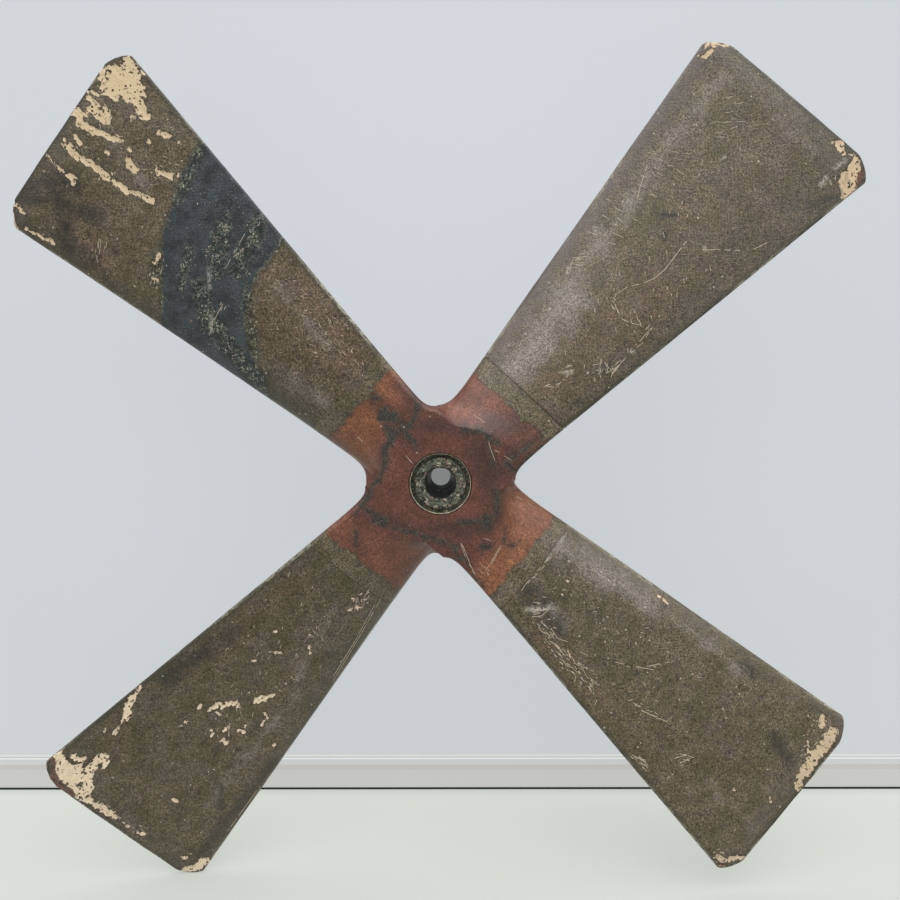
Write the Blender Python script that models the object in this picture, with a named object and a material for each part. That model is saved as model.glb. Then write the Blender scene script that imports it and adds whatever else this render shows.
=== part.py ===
"""Four-bladed wooden windmill propeller, of the kind that drove a small generator in the airstream.

Two wooden blade pairs cross at the hub in a half lap. Each blade wears a doped linen sleeve from
just outside its root to its tip. A flanged metal bush with a tapered bore runs through the hub,
and a plain collar on its far end keeps it there.

The spin axis lies along Y, the face with the bush's flange looks to -Y, and the origin is the
point of that axis at mid thickness. Blade stations are given in a blade's own directions: u runs
out along the blade, v across it towards the leading edge, and d is the height towards -Y.
"""
import math

import bpy
import bmesh
from mathutils import Vector

# Driving dimensions, in metres
TIP_RADIUS = 0.300
HUB_THICKNESS = 0.038
BOARD_WIDTH = 0.0626
BLADE_ANGLE = math.radians(47.2)      # first blade, from +X towards +Z
PITCH = 0.377                         # advance of the blade's screw surface in one turn
FIT_GAP = 0.0003                      # between pieces that touch
LINEN_THICKNESS = 0.0006

# Outline of a blade, seen along the axis: each edge is a straight line off the blade's axis,
# given by its distance at the hub's centre and what it gains for each metre outwards
TRAILING_EDGE = (0.0220, 0.1317)
LEADING_EDGE = (0.0206, 0.1400)
TIP_CORNER = 0.010                    # how far in from the tip a corner starts
CORNER_WIDTH = 0.016                  # how far in from the edge it ends
CORNER_BEND = 1.4                     # 1 would be a straight chamfer, 2 an ellipse
TIP_BEVEL = 0.012                     # the last stretch, where the blade thins to its end
TIP_THINNING = 0.35
TIP_TURNS = (0.0, 0.35, 0.62, 0.82, 0.94, 1.0)

# Each blade's own tip after years of knocks: extra length at mid tip, and its slant
WORN_TIPS = {
    "upper_right": (0.0004, 0.0),
    "upper_left": (-0.0018, -0.030),
    "lower_left": (0.0001, 0.018),
    "lower_right": (-0.0006, 0.0),
}
WEAR_START = 0.200

# Thickness and place of a blade's section: at the root, at the tip, and how fast it falls
ROOT_STATION = 0.045
SECTION_THICKNESS = (0.022, 0.0052, 2)
TRAILING_THICKNESS = (0.0108, 0.0032, 5)
LEADING_THICKNESS = (0.0114, 0.0030, 4)
TRAILING_HEIGHT = (0.0180, 0.0155, 6)
CREST = 2 / 3                         # where across the section its front is highest
NOSE_START = 0.84                     # where the rear starts to round up to the nose
NOSE_RISE = 0.35                      # how far up, as a share of the nose's thickness
DEEPEST_TWIST = 0.0360                # the hub's thickness limits the twist near the root
TWIST_BLEND = 6

# The boss: its rim runs over each root as the wall of a scoop
RIM_INNER = 0.0285
RIM_REACH = 0.020
RIM_START = 0.020
RIM_CURVE = 0.022
SCOOP_WALL = 0.016

# Where each blade's linen sleeve starts
HEMS = {"upper_right": 0.073, "upper_left": 0.078, "lower_left": 0.079, "lower_right": 0.078}

# Bush and collar, as radii and depths
BUSH_FACE = 0.016
BUSH_END = -0.017
FLANGE_RADIUS = 0.0182
FLANGE_FACE_RADIUS = 0.0153
FLANGE_THICKNESS = 0.005
FLANGE_BEVEL = 0.0025
SLEEVE_RADIUS = 0.013
BORE_NEAR_RADIUS = 0.0091
BORE_FAR_RADIUS = 0.0059
BORE_CHAMFER = 0.0013
COLLAR_THICKNESS = 0.0045
COLLAR_BEVEL = 0.001

CHORD_STEPS = 12
ROUND_STEPS = 40
ROOT_STATIONS = (0.0285, 0.0313, 0.033, 0.0355, 0.039, 0.043, 0.047, 0.053, 0.062)
BLADE_STATIONS = 9                    # between a hem and the tip's corner
SHORTEST_MITRE = 0.35
SMOOTH_ANGLE = math.radians(32)

HALF_HUB = HUB_THICKNESS / 2
HALF_BOARD = BOARD_WIDTH / 2
LINEN_INSET = LINEN_THICKNESS + FIT_GAP


def ease(value, low, high):
    """Rises smoothly from 0 at low to 1 at high."""
    t = min(max((value - low) / (high - low), 0.0), 1.0)
    return t * t * (3 - 2 * t)


def lean(value, low, high):
    """Rises from 0 at low, ever more steeply, to 1 at high."""
    t = min(max((value - low) / (high - low), 0.0), 1.0)
    return t * t * (3 - t) / 2


def mix(a, b, share):
    return a + (b - a) * share


def taper(u, size):
    """A size that falls from size[0] at the root station to size[1] at the tip."""
    root, tip, power = size
    out = min(max((u - ROOT_STATION) / (TIP_RADIUS - ROOT_STATION), 0.0), 1.0)
    return tip + (root - tip) * (1 - out) ** power


# A blade's form

def edge(u, line):
    """Distance to an edge at u: the board at the hub, a crotch fillet, a straight line, a corner."""
    if u <= HALF_BOARD:
        return HALF_BOARD
    start, gain = line
    step = HALF_BOARD - start - gain * HALF_BOARD
    fillet = step * math.exp(-(u - HALF_BOARD) * (1 + gain) / step)
    past = min(max((u - TIP_RADIUS) / TIP_CORNER + 1, 0.0), 1.0)
    corner = CORNER_WIDTH * (1 - (1 - past ** CORNER_BEND) ** (1 / CORNER_BEND))
    return start + gain * u + fillet - corner


def edges(u):
    """Where the section at u starts and ends; the pair's other blade is half a turn on."""
    trailing = edge(abs(u), TRAILING_EDGE)
    leading = edge(abs(u), LEADING_EDGE)
    return (-trailing, leading) if u > 0 else (-leading, trailing)


def twist_drop(u):
    """How far the leading edge lies behind the trailing edge: a screw surface, limited by the hub."""
    chord = TRAILING_EDGE[0] + LEADING_EDGE[0] + (TRAILING_EDGE[1] + LEADING_EDGE[1]) * u
    free = chord * PITCH / (2 * math.pi * u)
    return (free ** -TWIST_BLEND + DEEPEST_TWIST ** -TWIST_BLEND) ** (-1 / TWIST_BLEND)


def blade_heights(u, v):
    """Front and rear height of the bare blade: a flat rear, a cambered front, a blunt nose."""
    behind = TRAILING_EDGE[0] + TRAILING_EDGE[1] * u
    ahead = LEADING_EDGE[0] + LEADING_EDGE[1] * u
    across = min(max((v + behind) / (behind + ahead), 0.0), 1.0)
    thin = 1 - TIP_THINNING * lean(u, TIP_RADIUS - TIP_BEVEL, TIP_RADIUS)
    trailing = taper(u, TRAILING_THICKNESS) * thin
    leading = taper(u, LEADING_THICKNESS) * thin
    thick = taper(u, SECTION_THICKNESS) * thin
    trailing_top = taper(u, TRAILING_HEIGHT)
    leading_bottom = trailing_top - twist_drop(u)
    rear = mix(trailing_top - trailing, leading_bottom, across)
    bulge = thick - mix(trailing, leading, CREST)
    camber = across * math.sqrt(1 - across) / (CREST * math.sqrt(1 - CREST))
    front = rear + mix(trailing, leading, across) + bulge * camber
    nose_rise = NOSE_RISE * leading * lean(across, NOSE_START, 1)
    return front, rear + nose_rise


def outside_boss(u, v):
    """0 on the boss, 1 out on the blade: the rim is a curve from crotch to trailing edge."""
    rim = RIM_INNER + RIM_REACH * (1 - math.exp(-max(RIM_START - v, 0.0) / RIM_CURVE))
    out = min(max((u - rim) / SCOOP_WALL, 0.0), 1.0)
    return 1 - (1 - out) ** 2


def heights(u, v):
    """Front and rear height anywhere on a pair: its other blade is the same, half a turn on."""
    if u < 0:
        u, v = -u, -v
    if u < RIM_INNER:
        return HALF_HUB, -HALF_HUB
    front, rear = blade_heights(u, v)
    front = mix(HALF_HUB, front, outside_boss(u, v))
    rear = mix(-HALF_HUB, rear, outside_boss(u, -v))
    return front, rear


# Sections and skins

def inset_ring(ring, inset):
    """Moves each side of a closed ring of (v, d) points inwards by inset, keeping it parallel."""
    if inset == 0:
        return ring
    count = len(ring)
    moved = []
    for i, point in enumerate(ring):
        before = (point - ring[i - 1]).normalized()
        after = (ring[(i + 1) % count] - point).normalized()
        normal_a = Vector((-before.y, before.x))
        normal_b = Vector((-after.y, after.x))
        mitre = normal_a + normal_b
        moved.append(point + mitre * (inset / max(1 + normal_a.dot(normal_b), SHORTEST_MITRE)))
    return moved


def section(u, inset, wear):
    """A ring of points around the section at u, rear side first, as (u, v, d)."""
    low, high = edges(u)
    turns = [(1 - math.cos(math.pi * i / CHORD_STEPS)) / 2 for i in range(CHORD_STEPS + 1)]
    across = [mix(low, high, turn) for turn in turns]
    rear = [Vector((v, heights(u, v)[1])) for v in across]
    front = [Vector((v, heights(u, v)[0])) for v in reversed(across)]
    ring = inset_ring(rear + front, inset)
    out = math.copysign(1, u)
    shift = inset * ease(abs(u), TIP_RADIUS - TIP_CORNER, TIP_RADIUS)
    worn = ease(abs(u), WEAR_START, TIP_RADIUS)
    extra, slant = wear
    return [(u + out * (worn * (extra + slant * out * p.x) - shift), p.x, p.y) for p in ring]


def to_world(point, angle):
    u, v, d = point
    return Vector((u * math.cos(angle) - v * math.sin(angle), -d, u * math.sin(angle) + v * math.cos(angle)))


def add_rings(mesh, rings, angle):
    return [[mesh.verts.new(to_world(point, angle)) for point in ring] for ring in rings]


def join_rings(mesh, first, second):
    count = len(first)
    for i in range(count):
        j = (i + 1) % count
        mesh.faces.new((first[i], second[i], second[j], first[j]))


def close_end(mesh, ring):
    """Closes a section with a ladder of faces from its rear side to its front side."""
    last = len(ring) - 1
    for i in range(CHORD_STEPS):
        mesh.faces.new((ring[i], ring[i + 1], ring[last - i - 1], ring[last - i]))


def tip_stations():
    """Stations round a tip's corner, closer together towards its end."""
    return [TIP_RADIUS - TIP_CORNER + TIP_CORNER * turn for turn in TIP_TURNS]


def blade_stations(place):
    end = TIP_RADIUS - TIP_CORNER
    step = (end - HEMS[place]) / BLADE_STATIONS
    return [HEMS[place] + step * i for i in range(BLADE_STATIONS)] + tip_stations()


# Objects

def paint(name, colour, roughness, metallic=0.0):
    material = bpy.data.materials.new(name)
    material.use_nodes = True
    shader = material.node_tree.nodes["Principled BSDF"]
    shader.inputs["Base Color"].default_value = (*colour, 1)
    shader.inputs["Roughness"].default_value = roughness
    shader.inputs["Metallic"].default_value = metallic
    material.diffuse_color = (*colour, 1)
    return material


def make_object(name, mesh, material):
    bmesh.ops.recalc_face_normals(mesh, faces=mesh.faces)
    data = bpy.data.meshes.new(name)
    mesh.to_mesh(data)
    mesh.free()
    data.shade_smooth()
    data.set_sharp_from_angle(angle=SMOOTH_ANGLE)
    data.materials.append(material)
    item = bpy.data.objects.new(name, data)
    bpy.context.scene.collection.objects.link(item)
    return item


def cutter(name, mesh):
    """A closed shape that only cuts others."""
    data = bpy.data.meshes.new(name)
    bmesh.ops.recalc_face_normals(mesh, faces=mesh.faces)
    mesh.to_mesh(data)
    mesh.free()
    item = bpy.data.objects.new(name, data)
    item.hide_render = True
    item.display_type = "WIRE"
    bpy.context.scene.collection.objects.link(item)
    return item


def cut(item, tool):
    modifier = item.modifiers.new("cut by " + tool.name, "BOOLEAN")
    modifier.operation = "DIFFERENCE"
    modifier.solver = "EXACT"
    modifier.object = tool


def turned(profile):
    """A mesh turned about the axis from a closed profile of (radius, depth) points."""
    mesh = bmesh.new()
    rings = []
    for step in range(ROUND_STEPS):
        turn = 2 * math.pi * step / ROUND_STEPS
        spoke = [(r * math.cos(turn), -d, r * math.sin(turn)) for r, d in profile]
        rings.append([mesh.verts.new(point) for point in spoke])
    for step, ring in enumerate(rings):
        join_rings(mesh, ring, rings[(step + 1) % ROUND_STEPS])
    return mesh


def solid_cylinder(radius, low, high):
    mesh = bmesh.new()
    ends = []
    for d in (low, high):
        turns = [2 * math.pi * step / ROUND_STEPS for step in range(ROUND_STEPS)]
        ends.append([mesh.verts.new((radius * math.cos(t), -d, radius * math.sin(t))) for t in turns])
    join_rings(mesh, ends[0], ends[1])
    mesh.faces.new(ends[0])
    mesh.faces.new(ends[1])
    return mesh


def lap_block(angle, side):
    """The half that one pair gives up to the other: side +1 takes the front, -1 the rear."""
    mesh = bmesh.new()
    reach = HALF_BOARD + FIT_GAP
    wide = BOARD_WIDTH
    near = -side * FIT_GAP / 2
    far = side * HUB_THICKNESS
    corners = ((-reach, -wide), (reach, -wide), (reach, wide), (-reach, wide))
    ends = add_rings(mesh, [[(u, v, d) for u, v in corners] for d in (near, far)], angle)
    join_rings(mesh, ends[0], ends[1])
    mesh.faces.new(ends[0])
    mesh.faces.new(ends[1])
    return mesh


def wooden_blade(place):
    """Stations of one blade with the inset at each: bare at the root, a bed for the linen outside."""
    hem = HEMS[place]
    root = [(u, 0.0) for u in ROOT_STATIONS]
    bed = [(hem - FIT_GAP, FIT_GAP), (hem - FIT_GAP / 2, LINEN_INSET)]
    return root + bed + [(u, LINEN_INSET) for u in blade_stations(place)[1:]]


def blade_pair(name, angle, side, places, material):
    """Two blades and their half of the hub, with the linen's beds carved down by its thickness."""
    mesh = bmesh.new()
    rings = [section(-u, inset, WORN_TIPS[places[1]]) for u, inset in reversed(wooden_blade(places[1]))]
    rings += [section(u, inset, WORN_TIPS[places[0]]) for u, inset in wooden_blade(places[0])]
    rings = add_rings(mesh, rings, angle)
    for first, second in zip(rings, rings[1:]):
        join_rings(mesh, first, second)
    close_end(mesh, rings[0])
    close_end(mesh, rings[-1])
    item = make_object(name, mesh, material)
    cut(item, cutter(name + "_lap", lap_block(angle, side)))
    return item


def linen_sleeve(place, angle, material):
    """A sock of cloth over one blade: an outer skin, an inner skin and a hem between them."""
    mesh = bmesh.new()
    skins = []
    for inset in (0.0, LINEN_THICKNESS):
        sections = [section(u, inset, WORN_TIPS[place]) for u in blade_stations(place)]
        rings = add_rings(mesh, sections, angle)
        for first, second in zip(rings, rings[1:]):
            join_rings(mesh, first, second)
        close_end(mesh, rings[-1])
        skins.append(rings[0])
    join_rings(mesh, skins[0], skins[1])
    return make_object("linen_" + place, mesh, material)


def bush(material):
    """The flange looks out of the counterbore, and the bore narrows away from it."""
    profile = [
        (BORE_NEAR_RADIUS + BORE_CHAMFER, BUSH_FACE),
        (FLANGE_FACE_RADIUS, BUSH_FACE),
        (FLANGE_RADIUS, BUSH_FACE - FLANGE_BEVEL),
        (FLANGE_RADIUS, BUSH_FACE - FLANGE_THICKNESS),
        (SLEEVE_RADIUS, BUSH_FACE - FLANGE_THICKNESS),
        (SLEEVE_RADIUS, BUSH_END),
        (BORE_FAR_RADIUS, BUSH_END),
        (BORE_NEAR_RADIUS, BUSH_FACE - BORE_CHAMFER),
    ]
    return make_object("hub_bush", turned(profile), material)


def collar(material):
    """A plain ring over the bush's far end, in a counterbore like the flange's."""
    outer_face = BUSH_END + FIT_GAP
    inner_face = outer_face + COLLAR_THICKNESS
    inner_radius = SLEEVE_RADIUS + FIT_GAP
    profile = [
        (inner_radius, inner_face),
        (FLANGE_RADIUS, inner_face),
        (FLANGE_RADIUS, outer_face + COLLAR_BEVEL),
        (FLANGE_RADIUS - COLLAR_BEVEL, outer_face),
        (inner_radius, outer_face),
    ]
    return make_object("rear_collar", turned(profile), material)


def main():
    for item in list(bpy.data.objects):
        bpy.data.objects.remove(item, do_unlink=True)

    front_wood = paint("front_pair_wood", (0.19, 0.085, 0.06), 0.5)
    rear_wood = paint("rear_pair_wood", (0.17, 0.075, 0.055), 0.5)
    places = ("upper_right", "upper_left", "lower_left", "lower_right")
    angles = [BLADE_ANGLE + quarter * math.pi / 2 for quarter in range(4)]
    pairs = [
        blade_pair("blade_pair_front", angles[1], -1, (places[1], places[3]), front_wood),
        blade_pair("blade_pair_rear", angles[0], 1, (places[0], places[2]), rear_wood),
    ]

    bed_radius = FLANGE_RADIUS + FIT_GAP
    flange_bed = BUSH_FACE - FLANGE_THICKNESS - FIT_GAP
    collar_bed = BUSH_END + COLLAR_THICKNESS + 2 * FIT_GAP
    holes = [
        cutter("hole_for_sleeve", solid_cylinder(SLEEVE_RADIUS + FIT_GAP, -HUB_THICKNESS, HUB_THICKNESS)),
        cutter("bed_for_flange", solid_cylinder(bed_radius, flange_bed, HUB_THICKNESS)),
        cutter("bed_for_collar", solid_cylinder(bed_radius, -HUB_THICKNESS, collar_bed)),
    ]
    for pair in pairs:
        for hole in holes:
            cut(pair, hole)

    for place, angle in zip(places, angles):
        doped = paint("linen_" + place + "_dope", (0.13, 0.11, 0.075), 0.75)
        linen_sleeve(place, angle, doped)

    bush(paint("bush_bronze", (0.16, 0.14, 0.09), 0.45, 0.8))
    collar(paint("collar_bronze", (0.16, 0.13, 0.08), 0.5, 0.8))


main()
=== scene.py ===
# %% [markdown]
# # A small four-bladed wooden propeller
# It drove a generator in the airstream. Two wooden boards cross at the hub, and each of the four
# blades wears a sock of doped linen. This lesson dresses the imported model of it: first the stage
# and the light, then the cloth, the wood and the metal as fine meshes, then their finishes, and
# last the small things that lie on them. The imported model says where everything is.

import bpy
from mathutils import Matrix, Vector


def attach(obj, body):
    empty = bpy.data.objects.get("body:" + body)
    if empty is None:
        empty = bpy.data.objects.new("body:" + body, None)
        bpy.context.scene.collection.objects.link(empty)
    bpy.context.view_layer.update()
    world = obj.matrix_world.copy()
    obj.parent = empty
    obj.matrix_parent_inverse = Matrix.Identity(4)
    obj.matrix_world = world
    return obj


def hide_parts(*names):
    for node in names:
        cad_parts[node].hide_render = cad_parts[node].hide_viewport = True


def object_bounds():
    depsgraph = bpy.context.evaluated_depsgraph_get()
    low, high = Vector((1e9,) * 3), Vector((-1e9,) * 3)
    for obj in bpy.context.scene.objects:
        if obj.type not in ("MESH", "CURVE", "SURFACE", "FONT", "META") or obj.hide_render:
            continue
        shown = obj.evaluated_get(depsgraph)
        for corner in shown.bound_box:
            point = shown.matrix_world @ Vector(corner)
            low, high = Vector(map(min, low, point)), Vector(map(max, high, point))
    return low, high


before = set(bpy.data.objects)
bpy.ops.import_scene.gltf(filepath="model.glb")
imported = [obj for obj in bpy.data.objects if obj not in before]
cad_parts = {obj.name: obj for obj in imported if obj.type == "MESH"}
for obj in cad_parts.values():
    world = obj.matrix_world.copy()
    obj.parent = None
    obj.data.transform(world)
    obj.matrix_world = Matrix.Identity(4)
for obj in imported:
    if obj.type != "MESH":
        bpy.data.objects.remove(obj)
cad_box = [list(corner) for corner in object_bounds()]
print("CAD box in mm:", [[round(1000 * x, 1) for x in corner] for corner in cad_box])

# %% Libraries and units
import math

import bpy
import numpy as np
from mathutils import Vector, noise

MM = 0.001
scene = bpy.context.scene

# %% [markdown]
# ## The camera
# The propeller was photographed from half a metre, a little above its middle, with the lens
# turned down by about 6.5 degrees, so the lower blades look slightly smaller. A camera is a place,
# a turn and a lens: a 36 mm lens on a 36 mm sensor sees 53 degrees.

# %% The camera at the photograph's place
CAMERA_PLACE = (0.0046, -0.5397, 0.0798)
CAMERA_TURN = (83.474, 0.0, -0.1203)
LENS = 36
SENSOR = 36


def into_scene(name, data):
    """A new object for a mesh, a curve, a lamp or a camera, linked to the scene."""
    thing = bpy.data.objects.new(name, data)
    scene.collection.objects.link(thing)
    return thing


camera = into_scene("camera", bpy.data.cameras.new("camera"))
camera.data.lens = LENS
camera.data.sensor_width = SENSOR
camera.location = CAMERA_PLACE
camera.rotation_euler = [math.radians(turn) for turn in CAMERA_TURN]
scene.camera = camera
print("camera", CAMERA_PLACE)

# %% [markdown]
# ## Helpers for materials
# A finish is a small machine of nodes. Writing each node and each link by hand is long, so a few
# helpers add a node, set or link its inputs, and hand back its output. Everything after this uses
# them, and a finish then reads almost like a formula.

# %% Adding nodes and setting their inputs
def colour(tone):
    """A colour as it reads on a screen, such as 8c6a4b, turned into linear values."""
    parts = [int(tone[i:i + 2], 16) / 255 for i in (0, 2, 4)]
    return [x / 12.92 if x < 0.04045 else ((x + 0.055) / 1.055) ** 2.4 for x in parts] + [1.0]


def put(tree, socket, value):
    """Links a socket to an output, or sets its value; a tone goes into a colour socket."""
    if isinstance(value, bpy.types.NodeSocket):
        tree.links.new(value, socket)
    elif socket.type == "RGBA" and isinstance(value, str):
        socket.default_value = colour(value)
    else:
        socket.default_value = value


def add(tree, kind, inputs=None, out=0, **settings):
    """Adds a node, sets or links the inputs that are given, and returns one of its outputs."""
    node = tree.nodes.new(kind)
    for name, value in settings.items():
        setattr(node, name, value)
    for key, value in (inputs or {}).items():
        put(tree, node.inputs[key], value)
    return node.outputs[out]


def feed(tree, node, **sockets):
    """Fills the inputs of a shader or a group; an underscore in a name stands for a space."""
    for name, value in sockets.items():
        put(tree, node.inputs[name.replace("_", " ")], value)


def new_material(name):
    """An empty material with its Principled shader; returns the material, its tree and the shader."""
    material = bpy.data.materials.new(name)
    material.use_nodes = True
    return material, material.node_tree, material.node_tree.nodes["Principled BSDF"]


print("8c6a4b in linear values:", [round(channel, 3) for channel in colour("8c6a4b")])


# %% Arithmetic on values
def maths(tree, operation, a, b=0.0):
    return add(tree, "ShaderNodeMath", {0: a, 1: b}, operation=operation)


def product(tree, first, *others):
    for other in others:
        first = maths(tree, "MULTIPLY", first, other)
    return first


def total(tree, first, *others):
    for other in others:
        first = maths(tree, "ADD", first, other)
    return first


def span(tree, value, low, high, to_low=0.0, to_high=1.0):
    """Stretches the part of a value between low and high to another range, and clamps it."""
    inputs = {"Value": value, "From Min": low, "From Max": high, "To Min": to_low, "To Max": to_high}
    return add(tree, "ShaderNodeMapRange", inputs)


def between(tree, share, low, high):
    """An amount that goes from low to high as a share goes from 0 to 1."""
    return span(tree, share, 0.0, 1.0, low, high)


print("values: product, total, span, between")


# %% Blends, places, noise and bumps
def blend(tree, share, a, b, mode="MIX"):
    """Mixes two colours; b shows where share is 1."""
    inputs = {"Factor": share, 6: a, 7: b}
    return add(tree, "ShaderNodeMix", inputs, out=2, data_type="RGBA", blend_type=mode)


def coat(tree, under, tone, *masks):
    """Lays a tone over a colour, as thick as the masks multiplied."""
    return blend(tree, product(tree, *masks), under, tone)


def fade(tree, share, a, b):
    """Mixes two values."""
    return add(tree, "ShaderNodeMix", {"Factor": share, 2: a, 3: b}, out=0, data_type="FLOAT")


def attribute(tree, name, out="Fac"):
    return add(tree, "ShaderNodeAttribute", out=out, attribute_name=name)


def vectors(tree, operation, a, b, out=0):
    return add(tree, "ShaderNodeVectorMath", {0: a, 1: b}, out=out, operation=operation)


def stretched(tree, vector, factors):
    return vectors(tree, "MULTIPLY", vector, factors)


def shaded(tree, vector, *amounts):
    """A colour or a place scaled by each amount in turn."""
    for amount in amounts:
        vector = add(tree, "ShaderNodeVectorMath", {0: vector, 3: amount}, operation="SCALE")
    return vector


def rough_noise(tree, vector, scale, detail=3.0, roughness=0.55, distortion=0.0):
    inputs = {"Vector": vector, "Scale": scale, "Detail": detail, "Roughness": roughness,
              "Distortion": distortion}
    return add(tree, "ShaderNodeTexNoise", inputs)


def blots(tree, vector, scale, low, high, to_low=0.0, to_high=1.0, **noise_inputs):
    """Patches of noise: to_low where it is below low, to_high where it is above high."""
    return span(tree, rough_noise(tree, vector, scale, **noise_inputs), low, high, to_low, to_high)


def bump(tree, height, distance, strength):
    inputs = {"Height": height, "Distance": distance, "Strength": strength}
    return add(tree, "ShaderNodeBump", inputs)


print("textures: blend, coat, fade, attribute, noise, blots, bump")

# %% [markdown]
# ## The stage
# The propeller leans on its two lower tips on a pale table, close in front of a pale board that
# has a grey metal rail along its foot. All are strips of flat faces. Seen from behind or below
# they would hide the propeller, so their backs are made see-through with the Backfacing output.
# The camera saw the board almost evenly bright, so most of its light is its own. It throws no
# light and no shadow on the propeller, which would change the colour of the paint. Some light and
# shade is painted on the stage: the rail's lines paint its highlight and the shadows in its gaps,
# and the board has a painted pool of light in its middle and a painted shade behind the hub.

# %% A matt sheet that shines a little
STAGE_SIZE = 4.0
STAGE_ROUGHNESS = 0.9


def stage_material(name, tone, glow, lit):
    """Glow is the share of its tone that a sheet shines by itself, lit the share it reflects."""
    material, tree, shader = new_material(name)
    shown = colour(tone)
    reflected = [channel * lit for channel in shown[:3]] + [1.0]
    feed(tree, shader, Base_Color=reflected, Roughness=STAGE_ROUGHNESS, Specular_IOR_Level=0.0,
         Emission_Color=shown, Emission_Strength=glow)
    back = add(tree, "ShaderNodeNewGeometry", out="Backfacing")
    clear = add(tree, "ShaderNodeBsdfTransparent")
    mixed = add(tree, "ShaderNodeMixShader", {0: back, 1: shader.outputs[0], 2: clear})
    tree.links.new(mixed, tree.nodes["Material Output"].inputs["Surface"])
    return material


def stage_strip(name, start, end, tone, light):
    """A long strip from side to side, between two points of (distance, height)."""
    corners = [(side * STAGE_SIZE, far, high) for far, high in (start, end) for side in (-1, 1)]
    mesh = bpy.data.meshes.new(name)
    mesh.from_pydata(corners, [], [(0, 1, 3, 2)])
    mesh.materials.append(stage_material(name, tone, *light))
    strip = into_scene(name, mesh)
    return strip


print("strips reach", STAGE_SIZE, "m to each side")

# %% Table, rail and board
GROUND = cad_box[0][2]
TABLE = {"tone": "dbe0d9", "light": (0.53, 0.26)}
BOARD_DISTANCE = 0.1187
BOARD_LIGHT = (0.79, 0.2)
BOARD_TONES = ("d1d6dd", "cdd2d5")
RAIL_DEPTH = 0.004
RAIL_LIGHT = (0.8, 0.18)
# the rail's lines: from this height, to this height, tone; the tones are painted light: the dark
# lines at the foot and at the top paint the shadows in the gaps, the bright line below the top is
# a painted highlight on its edge, and the greys between paint the shading of its face
RAIL_PAINTED_LINES = [(0.0, 0.0017, "2b2e29"), (0.0017, 0.003, "c2c7c0"), (0.003, 0.016, "c9cac4"),
        (0.016, 0.0198, "c4c2be"), (0.0198, 0.0242, "cdcfce"), (0.0242, 0.0254, "e6ebeb"),
        (0.0254, 0.0261, "b8c0c2")]

stage_strip("table", (-STAGE_SIZE, GROUND), (STAGE_SIZE, GROUND), **TABLE)
near = BOARD_DISTANCE - RAIL_DEPTH
for number, (low, high, tone) in enumerate(RAIL_PAINTED_LINES):
    stage_strip("rail_" + str(number), (near, GROUND + low), (near, GROUND + high), tone, RAIL_LIGHT)
foot = GROUND + RAIL_PAINTED_LINES[-1][1]
board = stage_strip("board", (BOARD_DISTANCE, foot), (BOARD_DISTANCE, STAGE_SIZE),
                    BOARD_TONES[1], BOARD_LIGHT)
board.visible_shadow = False
board.visible_diffuse = False
board.visible_glossy = False
print("table at", round(GROUND, 4), "board at", BOARD_DISTANCE)

# %% The board has a painted pool of light in its middle, a little brighter and bluer, and a painted shade close behind the hub
PAINTED_LIGHT_POOL = {"place": (0.0, BOARD_DISTANCE, 0.2), "reach": (0.08, 0.45)}
SHADE = {"place": (-0.001, BOARD_DISTANCE, -0.0175), "reach": (0.014, 0.042), "tone": "767676"}

board_tree = board.data.materials[0].node_tree
place = add(board_tree, "ShaderNodeTexCoord", out="Object")
away, behind = (span(board_tree, vectors(board_tree, "DISTANCE", place, spot["place"], out=1),
                     *spot["reach"]) for spot in (PAINTED_LIGHT_POOL, SHADE))
shown = blend(board_tree, behind, SHADE["tone"], blend(board_tree, away, *BOARD_TONES))
put(board_tree, board_tree.nodes["Principled BSDF"].inputs["Emission Color"], shown)
print("board toned")

# %% [markdown]
# ## The light
# The room's light is soft: it comes from a wide bright ceiling that reaches far out behind the
# camera, and throws almost no shadow. On satin paint such a ceiling shows as a grey sheen wherever
# the surface leans back and its mirror image looks up, which draws the camber of the blades. A dim
# world fills the rest. The Standard view transform shows a colour as it is, easy to match.

# %% World and ceiling
ROOM_COLOUR = (0.96, 0.98, 1.0)
ROOM_STRENGTH = 0.24
CEILING = {"place": (0.65, -1.4, 2.0), "target": (0.65, -1.4, 0.0), "size": (8.5, 5.0), "power": 365.0}
FRONT = {"place": (0.2, -2.4, 0.5), "target": (0.0, 0.0, 0.0), "size": (1.6, 1.6), "power": 2.0}

world = bpy.data.worlds.new("room")
world.use_nodes = True
world.node_tree.nodes["Background"].inputs["Color"].default_value = (*ROOM_COLOUR, 1)
world.node_tree.nodes["Background"].inputs["Strength"].default_value = ROOM_STRENGTH
scene.world = world


def soft_light(name, place, target, size, power):
    """A rectangular lamp that looks at a target."""
    lamp = into_scene(name, bpy.data.lights.new(name, "AREA"))
    lamp.data.shape = "RECTANGLE"
    lamp.data.size, lamp.data.size_y = size
    lamp.data.energy = power
    lamp.location = place
    lamp.rotation_euler = (Vector(target) - Vector(place)).to_track_quat("-Z", "Y").to_euler()


soft_light("ceiling", **CEILING)
soft_light("front", **FRONT)
scene.view_settings.view_transform = "Standard"
print("lights:", ROOM_STRENGTH, CEILING["power"], FRONT["power"])

# %% [markdown]
# ## The form of a blade
# A carver works from a few rules, and so does this cell: the edges are straight lines off the
# blade's axis, the rear is a flat screw surface, the front is cambered, and near the hub both run
# up into the boss through a scooped root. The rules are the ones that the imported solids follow, so
# the fine skins made from them lie exactly on those solids. Heights are worked out for a whole row
# of points at a time with numpy.

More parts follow.
